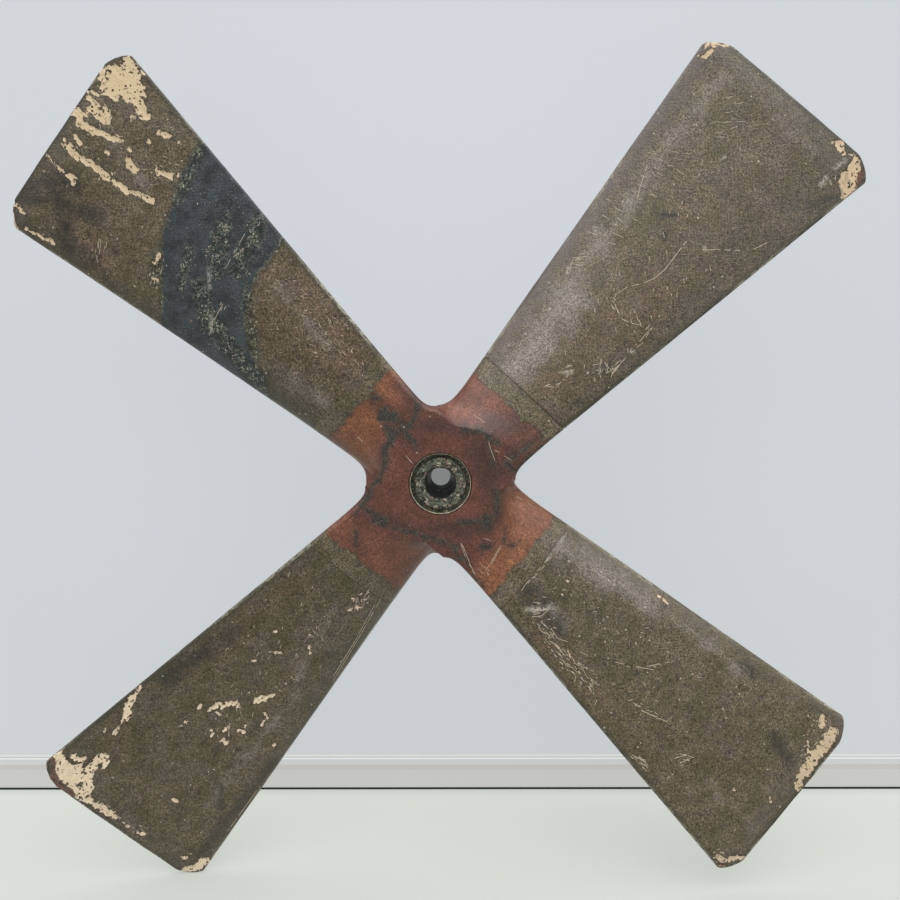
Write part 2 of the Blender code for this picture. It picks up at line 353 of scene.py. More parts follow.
# %% Sizes of a blade and of the hub, in metres; a taper is its root size, tip size and power
TIP_RADIUS = 0.300
HALF_HUB = 0.019
HALF_BOARD = 0.0313
BLADE_ANGLE = math.radians(47.2)
PITCH = 0.377
LINEN_THICKNESS = 0.0006
FIT_GAP = 0.0003
TRAILING_EDGE = (0.0220, 0.1317)
LEADING_EDGE = (0.0206, 0.1400)
TIP_CORNER = 0.010
CORNER_WIDTH = 0.016
CORNER_BEND = 1.4
TIP_BEVEL = 0.012
TIP_THINNING = 0.35
ROOT_STATION = 0.045
SECTION_THICKNESS = (0.022, 0.0052, 2)
TRAILING_THICKNESS = (0.0108, 0.0032, 5)
LEADING_THICKNESS = (0.0114, 0.0030, 4)
TRAILING_HEIGHT = (0.0180, 0.0155, 6)
CREST = 2 / 3
NOSE_START = 0.84
NOSE_RISE = 0.35
DEEPEST_TWIST = 0.036
TWIST_BLEND = 6
RIM_INNER = 0.0285
RIM_REACH = 0.020
RIM_START = 0.020
RIM_CURVE = 0.022
SCOOP_WALL = 0.016

print("hub", 2 * HALF_HUB / MM, "mm thick, tips at", TIP_RADIUS / MM, "mm")

# %% The four blades: where their hems lie and how far their tips are worn
PLACES = ("upper_right", "upper_left", "lower_left", "lower_right")
HEMS = {"upper_right": 0.073, "upper_left": 0.078, "lower_left": 0.079, "lower_right": 0.078}
HEM_GAPS = {"upper_right": 0.0003, "upper_left": 0.0001, "lower_left": 0.00016, "lower_right": 0.00014}
WEAR_START = 0.200
WORN_TIPS = {
    "upper_right": (0.0004, 0.0),
    "upper_left": (-0.0018, -0.030),
    "lower_left": (0.0001, 0.018),
    "lower_right": (-0.0006, 0.0),
}
angles = {place: BLADE_ANGLE + turn * math.pi / 2 for turn, place in enumerate(PLACES)}
print("blade angles:", {place: round(math.degrees(angle), 1) for place, angle in angles.items()})


# %% Smooth steps
def ease(value, low, high):
    """Rises smoothly from 0 at low to 1 at high."""
    t = np.clip((value - low) / (high - low), 0.0, 1.0)
    return t * t * (3 - 2 * t)


def lean(value, low, high):
    """Rises from 0 at low, ever more steeply, to 1 at high."""
    t = np.clip((value - low) / (high - low), 0.0, 1.0)
    return t * t * (3 - t) / 2


def mix(a, b, share):
    return a + (b - a) * share


def taper(u, size):
    """A size that falls from size[0] at the root station to size[1] at the tip."""
    root, tip, power = size
    out = min(max((u - ROOT_STATION) / (TIP_RADIUS - ROOT_STATION), 0.0), 1.0)
    return tip + (root - tip) * (1 - out) ** power


print("a quarter of the way up a smooth step:", float(ease(0.25, 0.0, 1.0)))


# %% The edges and the twist
def edge(u, line):
    """Distance to an edge at u: the board at the hub, a crotch fillet, a straight line, a corner."""
    if u <= HALF_BOARD:
        return HALF_BOARD
    start, gain = line
    step = HALF_BOARD - start - gain * HALF_BOARD
    fillet = step * math.exp(-(u - HALF_BOARD) * (1 + gain) / step)
    past = min(max((u - TIP_RADIUS) / TIP_CORNER + 1, 0.0), 1.0)
    corner = CORNER_WIDTH * (1 - (1 - past ** CORNER_BEND) ** (1 / CORNER_BEND))
    return start + gain * u + fillet - corner


def edges(u):
    trailing = edge(abs(u), TRAILING_EDGE)
    leading = edge(abs(u), LEADING_EDGE)
    return (-trailing, leading) if u > 0 else (-leading, trailing)


def twist_drop(u):
    """How far the leading edge lies behind the trailing edge."""
    chord = TRAILING_EDGE[0] + LEADING_EDGE[0] + (TRAILING_EDGE[1] + LEADING_EDGE[1]) * u
    free = chord * PITCH / (2 * math.pi * u)
    return (free ** -TWIST_BLEND + DEEPEST_TWIST ** -TWIST_BLEND) ** (-1 / TWIST_BLEND)


print("edges at 200 mm:", [round(side / MM, 1) for side in edges(0.2)], "mm")


# %% The section of a blade, and the boss with its scooped roots
def blade_heights(u, v):
    """Front and rear height of the bare blade: a flat rear, a cambered front, a blunt nose."""
    behind = TRAILING_EDGE[0] + TRAILING_EDGE[1] * u
    ahead = LEADING_EDGE[0] + LEADING_EDGE[1] * u
    across = np.clip((v + behind) / (behind + ahead), 0.0, 1.0)
    thin = 1 - TIP_THINNING * lean(u, TIP_RADIUS - TIP_BEVEL, TIP_RADIUS)
    trailing = taper(u, TRAILING_THICKNESS) * thin
    leading = taper(u, LEADING_THICKNESS) * thin
    thick = taper(u, SECTION_THICKNESS) * thin
    trailing_top = taper(u, TRAILING_HEIGHT)
    leading_bottom = trailing_top - twist_drop(u)
    rear = mix(trailing_top - trailing, leading_bottom, across)
    bulge = thick - mix(trailing, leading, CREST)
    camber = across * np.sqrt(1 - across) / (CREST * math.sqrt(1 - CREST))
    front = rear + mix(trailing, leading, across) + bulge * camber
    return front, rear + NOSE_RISE * leading * lean(across, NOSE_START, 1)


def outside_boss(u, v):
    """0 on the boss, 1 out on the blade: the rim is a curve from crotch to trailing edge."""
    rim = RIM_INNER + RIM_REACH * (1 - np.exp(-np.maximum(RIM_START - v, 0.0) / RIM_CURVE))
    out = np.clip((u - rim) / SCOOP_WALL, 0.0, 1.0)
    return 1 - (1 - out) ** 2


def heights(u, v):
    """Front and rear height anywhere on a pair: its other blade is the same, half a turn on."""
    if u < 0:
        u, v = -u, -v
    if u < RIM_INNER:
        return np.full(len(v), HALF_HUB), np.full(len(v), -HALF_HUB)
    front, rear = blade_heights(u, v)
    front = mix(HALF_HUB, front, outside_boss(u, v))
    rear = mix(-HALF_HUB, rear, outside_boss(u, -v))
    return front, rear


middle = heights(0.18, np.array([0.0]))
print("thickness at 180 mm:", round(float(middle[0][0] - middle[1][0]) / MM, 1), "mm")


# %% Between a blade's own directions and the frame's
def to_world(points, angle):
    """Blade directions (u out, v towards the leading edge, d forwards) to the frame's x, y, z."""
    u, v, d = np.asarray(points).T
    return np.stack([u * math.cos(angle) - v * math.sin(angle), -d,
                     u * math.sin(angle) + v * math.cos(angle)], 1)


def to_blade(points, angle):
    x, y, z = np.asarray(points).T
    return np.stack([x * math.cos(angle) + z * math.sin(angle),
                     z * math.cos(angle) - x * math.sin(angle), -y], 1)


tip = to_world([(TIP_RADIUS, 0.0, 0.0)], angles["upper_right"])[0]
print("upper right tip at", [round(at / MM, 1) for at in tip], "mm")

# %% [markdown]
# ## Closed rings
# Each skin is a stack of rings, one for each station along the blade. A ring follows the rear from
# one edge to the other and the front back again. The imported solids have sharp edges, and real
# ones are rounded with a spokeshave, so a quarter of a circle is let into each corner. Rings with
# the same number of points join into rows of four-sided faces, and the tube is closed at its ends.

# %% Places across a section
CORNER_STEPS = 6


def spread(low, high, round_low, round_high, steps):
    """Places across a section, closer together where it is rounded, and the drop at each."""
    turn = np.linspace(0, math.pi / 2, CORNER_STEPS)
    inner = np.linspace(low + round_low, high - round_high, steps)[1:-1]
    first = low + round_low * (1 - np.cos(turn))
    last = high - round_high * (1 - np.cos(turn))
    v = np.concatenate([first, inner, last[::-1]])
    fall = 1 - np.sin(turn)
    return v, np.concatenate([round_low * fall, np.zeros(len(inner)), (round_high * fall)[::-1]])


print("places across 100 mm:", len(spread(0.0, 0.1, 0.003, 0.003, 20)[0]))

# %% How round each corner is
EDGE_ROUND = 0.46          # share of an edge's thickness that its rounding takes
LARGEST_ROUND = 0.0030
SMALLEST_ROUND = 0.00005
HUB_ROUND = 0.0008
CROTCH_ROUND = 0.0006
JOINT_ROUND = 0.00001      # where the crossing board is level with this one
ROUND_GROWTH = 0.006       # length over which a rounding grows outside the hub


def hub_rounds(u, v):
    """Rounding of the rear and the front corner in the hub, only where the crossing board is lower."""
    front, rear = heights(u, np.array([v]))
    beside_front, beside_rear = heights(HALF_BOARD * 1.001, np.array([-math.copysign(u, u * v)]))
    steps = (beside_rear[0] - rear[0], front[0] - beside_front[0])
    largest = mix(HUB_ROUND, LARGEST_ROUND, float(ease(abs(u), HALF_BOARD - 0.007, HALF_BOARD)))
    least = mix(JOINT_ROUND, CROTCH_ROUND, float(ease(abs(u), HALF_BOARD - 0.0025, HALF_BOARD)))
    return [max(min(EDGE_ROUND * step, largest), least) for step in steps]


def edge_rounds(u, v, inset):
    """Rounding of the rear and the front corner at the side v of the section at u."""
    if abs(u) <= HALF_BOARD:
        return hub_rounds(u, v)
    starts = hub_rounds(math.copysign(HALF_BOARD, u), math.copysign(HALF_BOARD, v))
    front, rear = heights(u, np.array([v]))
    whole = max(min(EDGE_ROUND * (front[0] - rear[0] - 2 * inset), LARGEST_ROUND), SMALLEST_ROUND)
    grown = float(ease(abs(u), HALF_BOARD, HALF_BOARD + ROUND_GROWTH))
    return [mix(start, whole, grown) for start in starts]


print("rounding at 150 mm:", [round(size / MM, 1) for size in edge_rounds(0.15, 0.04, 0.0)], "mm")

# %% One ring
SIDE_STEPS = 3


def ring(u, steps, inset=0.0, wear=(0.0, 0.0)):
    """A closed ring of (u, v, d) round the section at u, pulled in by inset on all sides."""
    low, high = edges(u)
    low += inset
    high -= inset
    rounds_low, rounds_high = edge_rounds(u, low, inset), edge_rounds(u, high, inset)
    rear_v, rear_drop = spread(low, high, rounds_low[0], rounds_high[0], steps[1])
    front_v, front_drop = spread(low, high, rounds_low[1], rounds_high[1], steps[0])
    rear_d = heights(u, rear_v)[1] + inset + rear_drop
    front_d = heights(u, front_v)[0] - inset - front_drop
    rise = np.linspace(0, 1, SIDE_STEPS + 2)[1:-1]
    v = [rear_v, np.full(SIDE_STEPS, high), front_v[::-1], np.full(SIDE_STEPS, low)]
    d = [rear_d, mix(rear_d[-1], front_d[-1], rise), front_d[::-1], mix(front_d[0], rear_d[0], rise)]
    v, d = np.concatenate(v), np.concatenate(d)
    out = math.copysign(1, u)
    worn = float(ease(abs(u), WEAR_START, TIP_RADIUS))
    return np.stack([u + out * worn * (wear[0] + wear[1] * out * v), v, d], 1)


print("points in a ring:", len(ring(0.15, (140, 46))))


# %% Faces between rings, and a mesh that faces outwards
def tube_faces(rows, count):
    """Four-sided faces between neighbouring rings, and one face over each end."""
    here = np.arange(rows - 1)[:, None] * count + np.arange(count)[None, :]
    beside = np.arange(rows - 1)[:, None] * count + (np.arange(count)[None, :] + 1) % count
    quads = np.stack([here, beside, beside + count, here + count], -1).reshape(-1, 4).tolist()
    return quads + [list(range(count))[::-1], list(range((rows - 1) * count, rows * count))]


def make_mesh(name, points, faces):
    """A mesh with its faces turned outwards."""
    mesh = bpy.data.meshes.new(name)
    mesh.from_pydata(points.tolist(), [], faces)
    mesh.update()
    mesh.calc_loop_triangles()
    triangles = np.zeros(len(mesh.loop_triangles) * 3, np.int32)
    mesh.loop_triangles.foreach_get("vertices", triangles)
    a, b, c = (points[triangles.reshape(-1, 3)[:, i]] for i in range(3))
    volume = np.einsum("ij,ij->i", a, np.cross(b, c)).sum() / 6
    if volume < 0:
        mesh.flip_normals()
    return mesh


print("faces of a tube of three rings of eight:", len(tube_faces(3, 8)))


# %% Reading, moving and marking the points of a mesh
LEVEL = 8.0                # millimetres of a field that are stored as 1


def point_vectors(mesh, kind="co"):
    """The place of each point, or its normal."""
    values = np.zeros(len(mesh.vertices) * 3)
    mesh.vertices.foreach_get(kind, values)
    return values.reshape(-1, 3)


def turned_forwards(mesh):
    """1 where a point looks at the viewer's side, -1 where it looks at the back."""
    return -point_vectors(mesh, "normal")[:, 1]


def push_out(mesh, amounts):
    """Moves each point along its own normal."""
    moved = point_vectors(mesh) + point_vectors(mesh, "normal") * amounts[:, None]
    mesh.vertices.foreach_set("co", moved.ravel())
    mesh.update()


def keep_values(mesh, name, values):
    """Stores one number, or one vector, for each point, for the materials to read."""
    kind, slot = ("FLOAT", "value") if values.ndim == 1 else ("FLOAT_VECTOR", "vector")
    layer = mesh.attributes.new(name, kind, "POINT")
    layer.data.foreach_set(slot, values.ravel().astype(np.float32))


def stored(field):
    """A field in millimetres as a value from 0 to 1, with 0.5 at its edge."""
    return np.clip(field / LEVEL + 0.5, 0, 1)


print("a point 2 mm inside a field is stored as", stored(2.0))

# %% [markdown]
# ## Where the cloth is worn through
# Knocks and sand wore the dope off, first at the corners of the tips, and pale wood fibre shows.
# Each worn place is noted as strokes in the blade's own millimetres: half a width, then the
# places that it passes, along and across in turn. The distance to the nearest stroke, made ragged
# by noise that is stretched along the grain, says how deep a point lies in worn ground. One field
# then drives both the hollow in the mesh and the colour, so they always agree.

# %% Worn places, in millimetres along and across each blade
BARE = {
    "upper_right": [
        (1.3, 283, 56, 290, 55), (1.3, 290, 60, 295, 57, 298, 51), (3.4, 281, -53, 286, -50),
        (4.6, 288, -54, 292, -51), (2.2, 278, -57, 284, -58), (1.8, 295, -52, 297, -46),
        (2.0, 298, -33, 296, -37), (1.3, 296, -38, 294, -42),
    ],
    "upper_left": [
        (1.5, 233, -7, 240, -5, 245, -2), (1.6, 245, -2, 262, 0), (2.1, 262, 0, 283, 3, 292, 2),
        (1.9, 275, 16, 277, 15), (0.7, 277, 16, 296, 15), (1.4, 284, -4, 288, -4),
        (0.9, 268, -11, 270, -10), (2.1, 252, -14, 257, -15), (0.9, 259, -20, 261, -20),
        (1.6, 233, -26, 236, -24, 241, -22), (0.8, 230, -28, 230, -29), (1.7, 269, -20, 276, -17, 283, -13),
        (2.2, 279, -16, 287, -13, 291, -12), (2.2, 291, -12, 295, -16, 299, -15), (3.2, 281, -24, 290, -22),
        (1.4, 282, -28, 285, -29), (1.2, 288, -27, 296, -26), (1.3, 293, -31, 297, -29),
        (0.9, 254, -31, 255, -32), (1.1, 247, -42, 250, -40, 253, -39), (0.7, 241, -42, 241, -43),
        (0.8, 267, -36, 270, -35), (3.0, 265, -40, 272, -44), (3.6, 273, -44, 284, -41, 291, -37),
        (2.6, 284, -36, 288, -38), (5.6, 278, -49, 288, -49, 293, -43), (2.8, 281, -55, 290, -57),
        (0.9, 264, 52, 270, 54, 281, 57), (1.1, 287, 50, 295, 50), (1.2, 286, 61, 290, 59, 298, 53),
        (1.0, 210, 19, 211, 14), (0.7, 173, 30, 174, 30), (0.7, 203, 26, 206, 27),
    ],
    "lower_left": [
        (1.6, 170, 14, 175, 12, 178, 10), (0.7, 168, 16, 170, 15), (0.6, 158, 16, 158, 13),
        (2.0, 187, 2, 190, -2), (1.1, 190, -2, 195, -3), (1.8, 194, -6, 199, -7), (0.8, 199, -1, 199, -5),
        (0.8, 195, 16, 196, 16), (1.0, 199, 17, 200, 14), (1.1, 203, 8, 206, 8), (1.4, 211, 14, 212, 11),
        (0.9, 213, 5, 210, 2), (1.1, 201, -14, 203, -14), (1.3, 216, -14, 218, -13),
        (1.2, 261, 17, 262, 15), (0.7, 181, 18, 183, 22, 190, 23), (0.7, 195, 38, 196, 38),
        (0.6, 147, -22, 148, -22), (0.6, 143, 0, 147, -5), (0.6, 157, -8, 158, -9),
        (0.6, 134, -11, 135, -11), (1.2, 215, -49, 224, -47), (1.9, 222, -48, 236, -43),
        (0.8, 236, -43, 249, -41), (0.8, 250, -46, 252, -46), (2.2, 294, -6, 293, -15, 295, -25),
        (1.0, 292, 16, 293, 12), (1.8, 264, -35, 270, -32), (3.2, 268, -38, 278, -37, 290, -29),
        (4.6, 283, -36, 284, -45), (5.2, 286, -44, 285, -52), (3.6, 293, -31, 294, -36),
        (2.0, 275, -45, 277, -50), (4.6, 291, -40, 291, -51), (3.4, 296, -34, 297, -48),
        (2.6, 287, -57, 281, -58), (1.6, 293, -20, 295, -8), (2.6, 286, 57, 292, 56, 297, 52),
        (0.9, 290, 46, 291, 44), (0.7, 294, 5, 294, 1), (0.4, 82, 12, 84, 11), (0.35, 86, 14, 87, 16),
        (0.4, 89, 13, 90, 11), (0.35, 91, 15, 93, 17), (0.3, 85, 18, 86, 19), (0.3, 96, 13, 97, 12),
        (0.3, 88, 10, 89, 9), (0.35, 80, 14, 83, 14), (0.4, 84, 16, 88, 12), (0.3, 90, 18, 92, 15),
        (0.35, 94, 15, 95, 13), (0.5, 122, 8, 124, 6), (0.5, 129, 10, 133, 14),
    ],
    "lower_right": [
        (4.4, 291, 47, 293, 40), (3.8, 292, 36, 291, 30), (4.2, 292, 27, 293, 20), (2.6, 293, 16, 296, 10),
        (1.4, 279, 52, 282, 48), (0.6, 272, 46, 277, 47), (0.8, 282, 34, 284, 33), (0.7, 285, 31, 286, 30),
        (1.4, 285, -55, 290, -57), (1.5, 291, -52, 297, -46), (0.9, 286, -7, 288, -8),
        (0.7, 150, 38, 157, 38), (0.6, 97, 8, 98, 8), (0.6, 100, 0, 101, 0), (0.6, 155, 8, 156, 8),
        (0.6, 264, -18, 267, -18), (0.5, 131, 9, 131, 4), (0.5, 140, -3, 140, -4),
        (0.6, 227, -40, 228, -36), (0.3, 117, -25, 123, -26), (0.45, 126, -23, 134, -25),
        (0.3, 136, -27, 141, -28), (0.2, 146, -25, 151, -27), (0.25, 122, -30, 129, -31),
        (0.2, 139, -23, 142, -23), (0.2, 152, -31, 156, -31), (0.2, 112, -21, 114, -21),
        (0.2, 132, -31, 134, -31),
    ],
}
BEHIND = [
    (2.4, 289, 55, 297, 48), (3.0, 287, -53, 297, -45), (1.1, 262, 10, 276, 12, 290, 11),
    (1.6, 270, -30, 277, -27), (1.3, 240, 20, 246, 21), (0.9, 205, -18, 212, -16),
]
print("worn strokes:", {place: len(strokes) for place, strokes in BARE.items()})

# %% [markdown]
# ## Where the coat only changes
# Other wear doesn't reach the wood. It is kept in the same way, as tables of broader strokes, one
# for each kind: rubbed thin, sooted in its pits, browned by oil, chalked by pale knocks, flecked
# where the top coat lifted, smudged, and at the very corners knocked until the wood is dark and
# crushed. One more table of the same kind is no wear but a painted sheen: a milky grey laid where
# the paint turns up towards the bright ceiling. Small dark and pale marks at random would look
# like noise, while a real blade is worn where hands, sand and the ground touched it.

# %% Ground that is rubbed or sooty
RUBBED = {
    "upper_right": [
        (6, 108, -24, 156, -28), (5, 143, -4, 146, -22), (4, 84, -8, 102, -11), (5, 280, -40, 292, -38),
    ],
    "upper_left": [(7, 118, 24, 152, 28), (5, 90, -22, 150, -33), (4, 236, 38, 243, 30)],
    "lower_left": [(6, 79, 14, 96, 15), (5, 118, 8, 160, 16), (4, 150, 18, 212, 14)],
    "lower_right": [
        (7, 108, -26, 166, -34), (4, 90, -12, 104, -22), (4, 186, -22, 212, -43), (4, 276, 44, 288, 30),
    ],
}
SOOTY = {
    "upper_right": [(2, 262, -46, 284, -60)],
    "upper_left": [
        (9, 120, 31, 160, 33), (5, 112, 33, 140, 24), (5, 252, 22, 286, 36), (5, 256, 44, 282, 26),
        (6, 170, -30, 176, -44), (8, 276, 18, 292, 40), (5, 240, 44, 262, 48),
    ],
    "lower_left": [(3, 206, 46, 286, 52), (3, 240, 32, 250, 40), (5, 150, -30, 200, -40)],
    "lower_right": [(6, 78, -12, 112, -16), (3, 220, 44, 226, 42), (4, 262, 22, 280, 18)],
}
print("rubbed and sooty blades:", len(RUBBED), len(SOOTY))

# %% Ground that is browned, and the painted sheen
BROWNED = {
    "upper_right": [(14, 80, -10, 165, -16), (6, 80, 10, 100, 8), (4, 200, 0, 222, 6)],
    "upper_left": [(16, 80, -14, 150, -20), (10, 110, 4, 140, -4), (6, 232, 40, 262, 34)],
    "lower_left": [(6, 100, -22, 190, -34), (4, 240, -44, 262, -30)],
    "lower_right": [(7, 108, -28, 168, -34)],
}
# painted sheen: strokes where the upturned paint mirrors the ceiling, painted as a milky grey
PAINTED_SHEEN_STROKES = {
    "upper_right": [
        (11, 80, 12, 130, 17), (5, 135, 22, 210, 32), (3, 220, 36, 285, 40), (2, 284, -26, 286, 10),
    ],
    "upper_left": [(4, 84, 12, 104, 16), (1, 100, -14, 146, -20), (0, 240, -10, 290, -20)],
    "lower_left": [(1, 96, 4, 150, 18), (2, 160, 26, 270, 34)],
    "lower_right": [
        (7, 82, 20, 150, 32), (2, 155, 34, 230, 40), (2, 98, -10, 116, -15), (1, 245, -24, 288, -28),
    ],
}
print("browned and frosted blades:", len(BROWNED), len(PAINTED_SHEEN_STROKES))

# %% Chalk marks, flecks, smudges and knocked corners
CHALKED = {
    "upper_right": [
        (1.2, 142, 29, 145, 30), (1.0, 97, -9, 100, -12), (0.9, 171, 34, 172, 35),
        (0.8, 203, -20, 204, -19), (0.8, 132, -29, 133, -30), (0.6, 248, 8, 250, 8),
        (1.4, 274, -43, 278, -42), (1.2, 286, -42, 292, -43),
    ],
    "lower_right": [(1.5, 90, -21, 100, -11), (0.2, 79, 9, 79, 25)],
    "upper_left": [(1.0, 160, 27, 166, 20), (0.8, 176, 8, 182, 2)],
}
FLECKED = {
    "upper_right": [(2.5, 110, -20, 117, -26)],
    "lower_right": [(2, 104, -22, 112, -25)],
    "upper_left": [
        (7, 160, 26, 180, 12), (6, 170, -12, 178, -40), (6, 180, -3, 193, -26), (4, 203, 28, 212, 15),
        (6, 120, 30, 152, 26), (4, 222, -20, 228, -48), (4, 132, 20, 160, -8), (4, 149, 28, 158, 19),
        (3, 190, 20, 200, -2),
    ],
}
SMUDGED = {
    "upper_right": [(1.7, 202.6, 10.8, 207.4, 5.6), (1.9, 192.6, 1, 195, 2.4), (1.0, 120, 33, 122, 33)],
    "upper_left": [(1.0, 250, 34, 251, 33), (1.2, 262, 40, 263, 38), (0.9, 232, 30, 233, 31)],
    "lower_left": [(1.0, 210, 24, 212, 22), (0.9, 236, 30, 239, 33), (0.8, 248, 22, 249, 24)],
    "lower_right": [(0.9, 225, 44, 228, 39), (0.7, 190, 10, 191, 8), (0.8, 168, -6, 169, -5)],
}
KNOCKED = {
    "upper_right": [(4.2, 294, -57, 290, -59), (1.0, 297, 20, 298, -20)],
    "upper_left": [(1.3, 297, -56, 300, -44), (1.2, 297, 56, 300, 46), (1.0, 284, -59, 292, -60)],
    "lower_left": [(7.0, 291, -60, 296, -57, 300, -50), (5.5, 300, -50, 300, -37)],
    "lower_right": [(1.6, 297, 48, 299, 20), (1.5, 288, -58, 297, -52)],
}

print("knocked corners:", sum(len(strokes) for strokes in KNOCKED.values()))

# %% Distance to strokes, and noise along the grain
FAR_OUTSIDE = -60.0


def stroke_depth(points, strokes, ragged=0.0, fringe=0.0):
    """How deep each (u, v) lies in the nearest stroke, in millimetres; below 0 is outside."""
    deepest = np.full(len(points), FAR_OUTSIDE)
    for width, *numbers in strokes:
        route = np.reshape(numbers, (-1, 2)).astype(float)
        for start, leg in zip(route, np.diff(route, axis=0)):
            share = np.clip((points - start) @ leg / (leg @ leg), 0, 1)
            distance = np.linalg.norm(points - start - share[:, None] * leg, axis=1)
            reach = width * (1 + ragged) + min(width / 1.5, 1.0) * fringe
            deepest = np.maximum(deepest, reach - distance)
    return deepest


def grain_noise(points, sizes, seed):
    """Smooth noise between -1 and 1 whose lumps have these sizes in millimetres."""
    spots = points / np.array(sizes, float) + 19.7 * seed
    return np.array([noise.noise(spot) for spot in spots.tolist()])


in_the_middle = stroke_depth(np.array([[5.0, 0.0]]), [(2.0, 0, 0, 10, 0)])
print("depth in the middle of a stroke of half width 2 mm:", in_the_middle)

# %% [markdown]
# ## The dark band on the upper left blade
# A blue-black band of paint crosses this blade. Its two sides are bent lines, so each is read off
# by how far across the blade a point lies. The band is kept as a field too: above 0 inside, below
# 0 outside, in millimetres.

# %% The band's sides, as (across, along) in millimetres
BAND_INNER = (
    (-48, 164), (-38, 161), (-20, 160), (-8, 158), (0, 154), (8, 150), (20, 136), (25, 124), (34, 112),
)
BAND_OUTER = (
    (-52, 231), (-30, 228), (-15, 222), (0, 218), (10, 212), (25, 200), (40, 190), (48, 184),
)


def band_depth(u, v):
    inner = np.interp(v, *zip(*BAND_INNER))
    outer = np.interp(v, *zip(*BAND_OUTER))
    return np.minimum(u - inner, outer - u)


crossed = [float(np.interp(0.0, *zip(*side))) for side in (BAND_INNER, BAND_OUTER)]
print("the band at mid blade, in mm:", crossed)

# %% [markdown]
# ## The linen sleeves
# On the real propeller the linen is glued on and filled with dope until it is as hard as board.
# It could be a simulated cloth, but it can't move, so a fine tube does it better: an outer skin
# that carries the wear, a thin hem, and an inner skin. The outer skin is dense enough for a point
# every 0.8 mm. It is pushed in where the dope is gone, raised a little at the lip of each hole,
# and given the slow waves of hand work.

# %% Stations of a sleeve
SLEEVE_STEPS = (142, 44)
SLEEVE_STATIONS = 250
TIP_STATIONS = 12
END_STATIONS = 5
TIP_ROUND = 0.0008
COARSE_STATIONS = [0.1, 0.14, 0.18, 0.22, 0.26, 0.285, 0.29, 0.294, 0.297, 0.2985]


def sleeve_stations(hem):
    """Stations from the hem to the tip, each with its inset; the last ones round the end off."""
    body = np.linspace(hem, TIP_RADIUS - TIP_CORNER, SLEEVE_STATIONS)
    turn = np.linspace(0, math.pi / 2, TIP_STATIONS + 1)[1:]
    corner = TIP_RADIUS - TIP_CORNER + (TIP_CORNER - TIP_ROUND) * np.sin(turn)
    turn = np.linspace(0, math.pi / 2, END_STATIONS + 1)[1:]
    end = TIP_RADIUS - TIP_ROUND * (1 - np.sin(turn))
    insets = TIP_ROUND * (1 - np.cos(turn))
    return [(u, 0.0) for u in np.concatenate([body, corner])] + list(zip(end, insets))


print("stations along a sleeve:", len(sleeve_stations(HEMS["upper_left"])))


# %% How deep a point lies in worn ground
TURNS_BACK = (-0.3, 0.3)


def bare_depth(place, blade_mm, facing):
    """The worn field in millimetres, for the front, blended to the rear's where a point faces back."""
    seed = PLACES.index(place)
    ragged = 0.5 * grain_noise(blade_mm, (6, 2.6, 5), seed)
    fringe = 2.2 * grain_noise(blade_mm, (3.2, 1.7, 3), seed + 4)
    fringe += 1.1 * grain_noise(blade_mm, (1.4, 1.1, 1.4), seed + 6)
    plan = blade_mm[:, :2]
    front = stroke_depth(plan, BARE[place], ragged, fringe)
    mirror = 1 if seed % 2 else -1
    mirrored = [(width, *(np.reshape(route, (-1, 2)) * (1, mirror)).ravel()) for width, *route in BEHIND]
    rear = stroke_depth(plan, mirrored, ragged, fringe)
    return mix(rear, front, ease(facing, *TURNS_BACK))


worn_spot = np.array([[288.0, -49.0, 5.0]])
print("depth at a worn corner, in mm:", bare_depth("upper_left", worn_spot, 1.0).round(1))


# %% Soft fields, and distances to a blade's edges
def soft_field(plan, strokes, softness=1.0):
    """1 along the middle of broad strokes, fading to 0 at their edges."""
    if not strokes:
        return np.zeros(len(plan))
    return ease(stroke_depth(plan, strokes), -2.5 * softness, 3.0 * softness)


SOFT_FIELDS = (
    ("rubbed", RUBBED, 1.0), ("soot_and_bore_shade", SOOTY, 1.4), ("flecked", FLECKED, 1.0), ("knocked", KNOCKED, 1.0),
    ("browned", BROWNED, 3.5), ("painted_sheen", PAINTED_SHEEN_STROKES, 4.0), ("chalked", CHALKED, 0.5),
    ("smudged", SMUDGED, 0.4),
)


def margins(stations, blade, count):
    """How far each point lies from the trailing edge, the leading edge and the tip, in metres."""
    low, high = np.repeat([edges(u) for u in stations], count, axis=0).T
    return np.stack([blade[:, 1] - low, high - blade[:, 1], TIP_RADIUS - np.repeat(stations, count)], 1)


print("soft fields:", [label for label, strokes, softness in SOFT_FIELDS])

# %% The four sleeves
BANDED = "upper_left"
CHIP_DEPTH = 0.00036
CHIP_LIP = 0.00007
SLOW_WAVES = 0.00024
FINE_WAVES = 0.00007
HEM_ROLL = 0.9             # millimetres over which the hem turns down
FRONT_ONLY = (-0.1, 0.2)   # how far a point faces forwards where a field fades in


